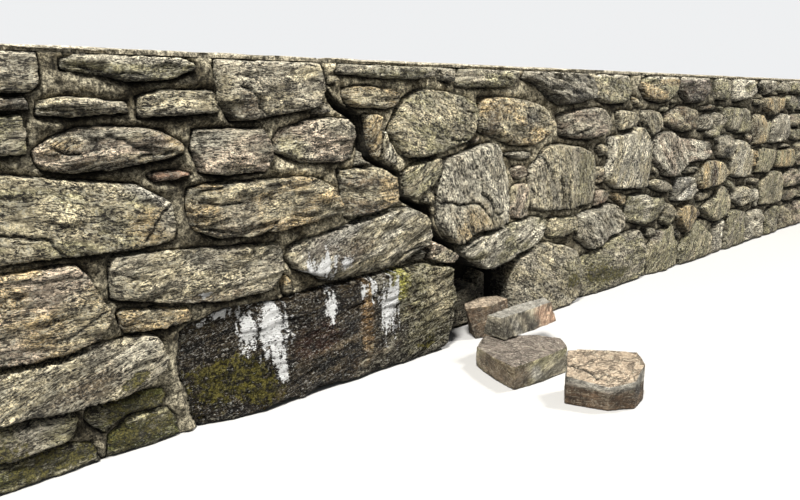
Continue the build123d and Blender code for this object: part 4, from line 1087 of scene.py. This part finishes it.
def joint_sheet(name, front, step, proud):
    """The mortar between the stones: a rough sheet that fills wide joints and sinks in narrow ones."""
    plane, tail, out = (FRONT_MORTAR_Y, FRONT_TAIL_Y, -1.0) if front else (BACK_MORTAR_Y, BACK_TAIL_Y, 1.0)
    points = []
    faces = []
    shades = []
    first = 0
    for solid, solid_faces in islands(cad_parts[name]):
        line = resampled(outline_at(solid, solid_faces, plane), step)
        flat, tris, d = filled(line, step, np.random.default_rng(5))
        x, z = flat[:, 0], flat[:, 1]
        cover = stone_cover(flat, outlines[front])
        ragged = fractal(at3(x / 0.06, z / 0.06, 2.0), 3, 71)
        lumps = fractal(at3(x / 0.022, z / 0.022, 4.0), 2, 73)
        gap = -cover + 0.005 * ragged
        open_joint = ramp(-0.35, 0.25, fractal(at3(x / 0.16, z / 0.16, 8.0), 3, 75))
        under = overhung(flat, outlines[front])
        sunk = 0.004 + 0.012 * open_joint + 0.014 * under
        height = -sunk + (0.4 * proud + sunk) * ramp(0.0, 0.012, gap) + 0.6 * proud * ramp(0.01, 0.035, gap)
        height += 0.011 * ragged + 0.006 * lumps - 0.006 * under
        height *= ramp(0.0, 0.004, d)
        far = far_share(x)
        # Painted shade in the mortar: darker in narrow joints beside the stones, under overhanging stones and
        # on the right part.
        shade = 1.0 - (0.3 + 0.5 * open_joint) * (1.0 - ramp(0.0, 0.009 + 0.009 * far, gap))
        # On the front the joints are paler amid the wall and below the capping.
        middle = 0.0
        if front:
            px, pz = (x - FACING_ZERO_X) * MM, z * MM
            for at_x, at_z, half_x, half_z in DEEP_JOINTS:
                near = np.hypot((px - at_x) / half_x, (pz - at_z) / half_z)
                height -= DEEP_RAKE * ramp(1.1, 0.6, near) * ramp(0.0, 0.01, d)
            middle = ramp(1100.0, 1600.0, px) * (1.0 - ramp(3100.0, 3900.0, px))
            shade *= 1.0 + (0.9 + 0.3 * far) * ramp(CEMENT_FOOT_Z - 0.03, CEMENT_FOOT_Z, z)
        shade *= (1.0 - 0.3 * far) * (1.0 + 1.2 * middle) * (0.8 + 0.2 * ramp(0.004, 0.02, gap))
        shade *= (1.0 + 0.4 * ragged) * (1.0 - (0.72 - 0.35 * middle + 0.2 * far) * under)
        # Painted shade: the sheet goes black at its rim, where the crack runs.
        shade *= 0.1 + 0.9 * ramp(0.0, 0.003, d)
        hidden = cover > HIDDEN_DEPTH
        tris = [t for t in tris if not all(hidden[v] for v in t)]
        n = len(line)
        points += [at3(x, plane + out * height, z), at3(line[:, 0], tail, line[:, 1])]
        # The sheet's sides behind the face are painted near black, as shade.
        shades += [shade, np.full(n, 0.02)]
        tris = [[v + first for v in t] for t in tris + band(0, len(flat), n)]
        faces += [t if front else t[::-1] for t in tris]
        first += len(flat) + n
    place = np.vstack(points)
    used = np.unique([v for f in faces for v in f])
    new = np.full(len(place), -1)
    new[used] = np.arange(len(used))
    faces = [[int(new[v]) for v in f] for f in faces]
    me = new_piece("joints_" + name, place[used], faces, name, joint_material)
    # The depth attribute holds the mortar's painted shade.
    layer = me.attributes.new("depth", "FLOAT", "POINT")
    layer.data.foreach_set("value", np.concatenate(shades)[used])


joint_sheet("left_face_mortar", True, 0.008 * QUICK_SHEET, 0.02)
joint_sheet("right_face_mortar", True, 0.011 * QUICK_SHEET, 0.012)
joint_sheet("back_mortar", False, 0.03 * QUICK_SHEET, 0.012)


# Capping

def cap_strip(name):
    """One half of the capping: cement with an uneven top and a crumbled edge."""
    points, faces = islands(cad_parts[name])[0]
    top, under = points[:, 2].max(), points[:, 2].min()
    line = resampled(outline_at(points[:, [0, 2, 1]], faces, top), 0.016 * QUICK_SHEET)
    flat, tris, d = filled(line, 0.02 * QUICK_SHEET, np.random.default_rng(9))
    spread = at3(*flat.T)
    uneven = ramp(-0.5, 0.5, fractal(spread / 0.2, 3, 85))
    z = top - 0.001 - 0.003 * (1 + fractal(spread / 0.12, 3, 81))
    z -= (0.004 + 0.011 * uneven) * (1 - ramp(0.0, 0.05, d))
    n, total = len(line), len(flat)
    way = outward(line)
    pull = 0.003 + 0.022 * ramp(-0.5, 0.5, fractal(at3(*line.T) / 0.11, 4, 83))
    edge = line - way * pull[:, None]
    flat[:n] = edge
    lower = edge - way * 0.002
    place = np.vstack([at3(*flat.T, z), at3(*edge.T, (top + under) / 2 - 0.002), at3(*lower.T, under)])
    tris += [f[1:] + f[:1] for f in band(0, total, n) + band(total, total + n, n)]
    new_piece("cap_" + name, place, tris, name, cement_material)


cap_strip("left_capping")
cap_strip("right_capping")


# Floor, light and camera

BACKGROUND = (0.86, 0.87, 0.88, 1.0)
SKY_COLOUR, SKY_STRENGTH = (0.86, 0.9, 0.95, 1.0), 0.3
FLOOR_COLOUR = (0.4, 0.395, 0.385, 1.0)
FLOOR_HALF, FLOOR_Z = 60.0, -0.001
FLOOR_FADE_FROM, FLOOR_FADE_TO = 5.5, 13.0


def floor_material():
    """A pale matt floor that passes into the plain background far from the wall."""
    m = bpy.data.materials.new("floor")
    k = Nodes(m)
    away = k.add("VectorMath", {0: k.place()}, "Value", operation="LENGTH")
    faded = k.add("LightPath", output="Is Camera Ray") * away.step(FLOOR_FADE_FROM, FLOOR_FADE_TO)
    matt = k.surface(FLOOR_COLOUR, 1.0, 0.0)
    glow = k.add("Emission", {"Color": BACKGROUND})
    k.add("OutputMaterial", {"Surface": k.add("MixShader", {0: faded, 1: matt, 2: glow})})
    return m


corners = [(a * FLOOR_HALF, b * FLOOR_HALF, FLOOR_Z) for a, b in ((-1, -1), (1, -1), (1, 1), (-1, 1))]
placed("floor", mesh_of("floor", corners, [(0, 1, 2, 3)], floor_material()))

world = bpy.data.worlds.new("sky")
bpy.context.scene.world = world
k = Nodes(world)
shown = k.add("LightPath", output="Is Camera Ray")
for ray in ("Is Glossy Ray", "Is Transmission Ray"):
    shown = k.maths("MAXIMUM", shown, k.add("LightPath", output=ray))
sky = k.add("Background", {"Color": SKY_COLOUR, "Strength": SKY_STRENGTH})
plain = k.add("Background", {"Color": BACKGROUND, "Strength": 1.0})
k.add("OutputWorld", {"Surface": k.add("MixShader", {0: shown, 1: sky, 2: plain})})


def lamp(name, place, aim, size, power, colour):
    data = bpy.data.lights.new(name, "AREA")
    data.shape = "DISK"
    data.size = size
    data.energy = power
    data.color = colour
    obj = placed(name, data)
    obj.location = place
    obj.rotation_euler = (Vector(aim) - Vector(place)).to_track_quat("-Z", "Y").to_euler()


lamp("soft_front", (-6.0, -3.4, 9.0), (-0.5, 0.0, 0.7), 2.0, 2300.0, (1.0, 0.98, 0.94))
lamp("soft_right", (5.0, -3.4, 9.0), (3.0, 0.0, 0.7), 2.0, 1450.0, (1.0, 0.98, 0.95))
lamp("soft_back", (0.0, 7.0, 6.0), (0.0, 0.2, 0.8), 5.0, 450.0, (0.97, 0.98, 1.0))

CAMERA_PLACE = (-4.271, -2.739, 1.351)
CAMERA_AIM = (0.6595, 0.7194, -0.2182)
scene = bpy.context.scene
scene.view_settings.view_transform = "Standard"
camera_data = bpy.data.cameras.new("camera")
camera_data.lens = 31.0
camera_data.sensor_width = 36.0
camera = placed("camera", camera_data)
camera.location = CAMERA_PLACE
camera.rotation_euler = Vector(CAMERA_AIM).to_track_quat("-Z", "Y").to_euler()
scene.camera = camera
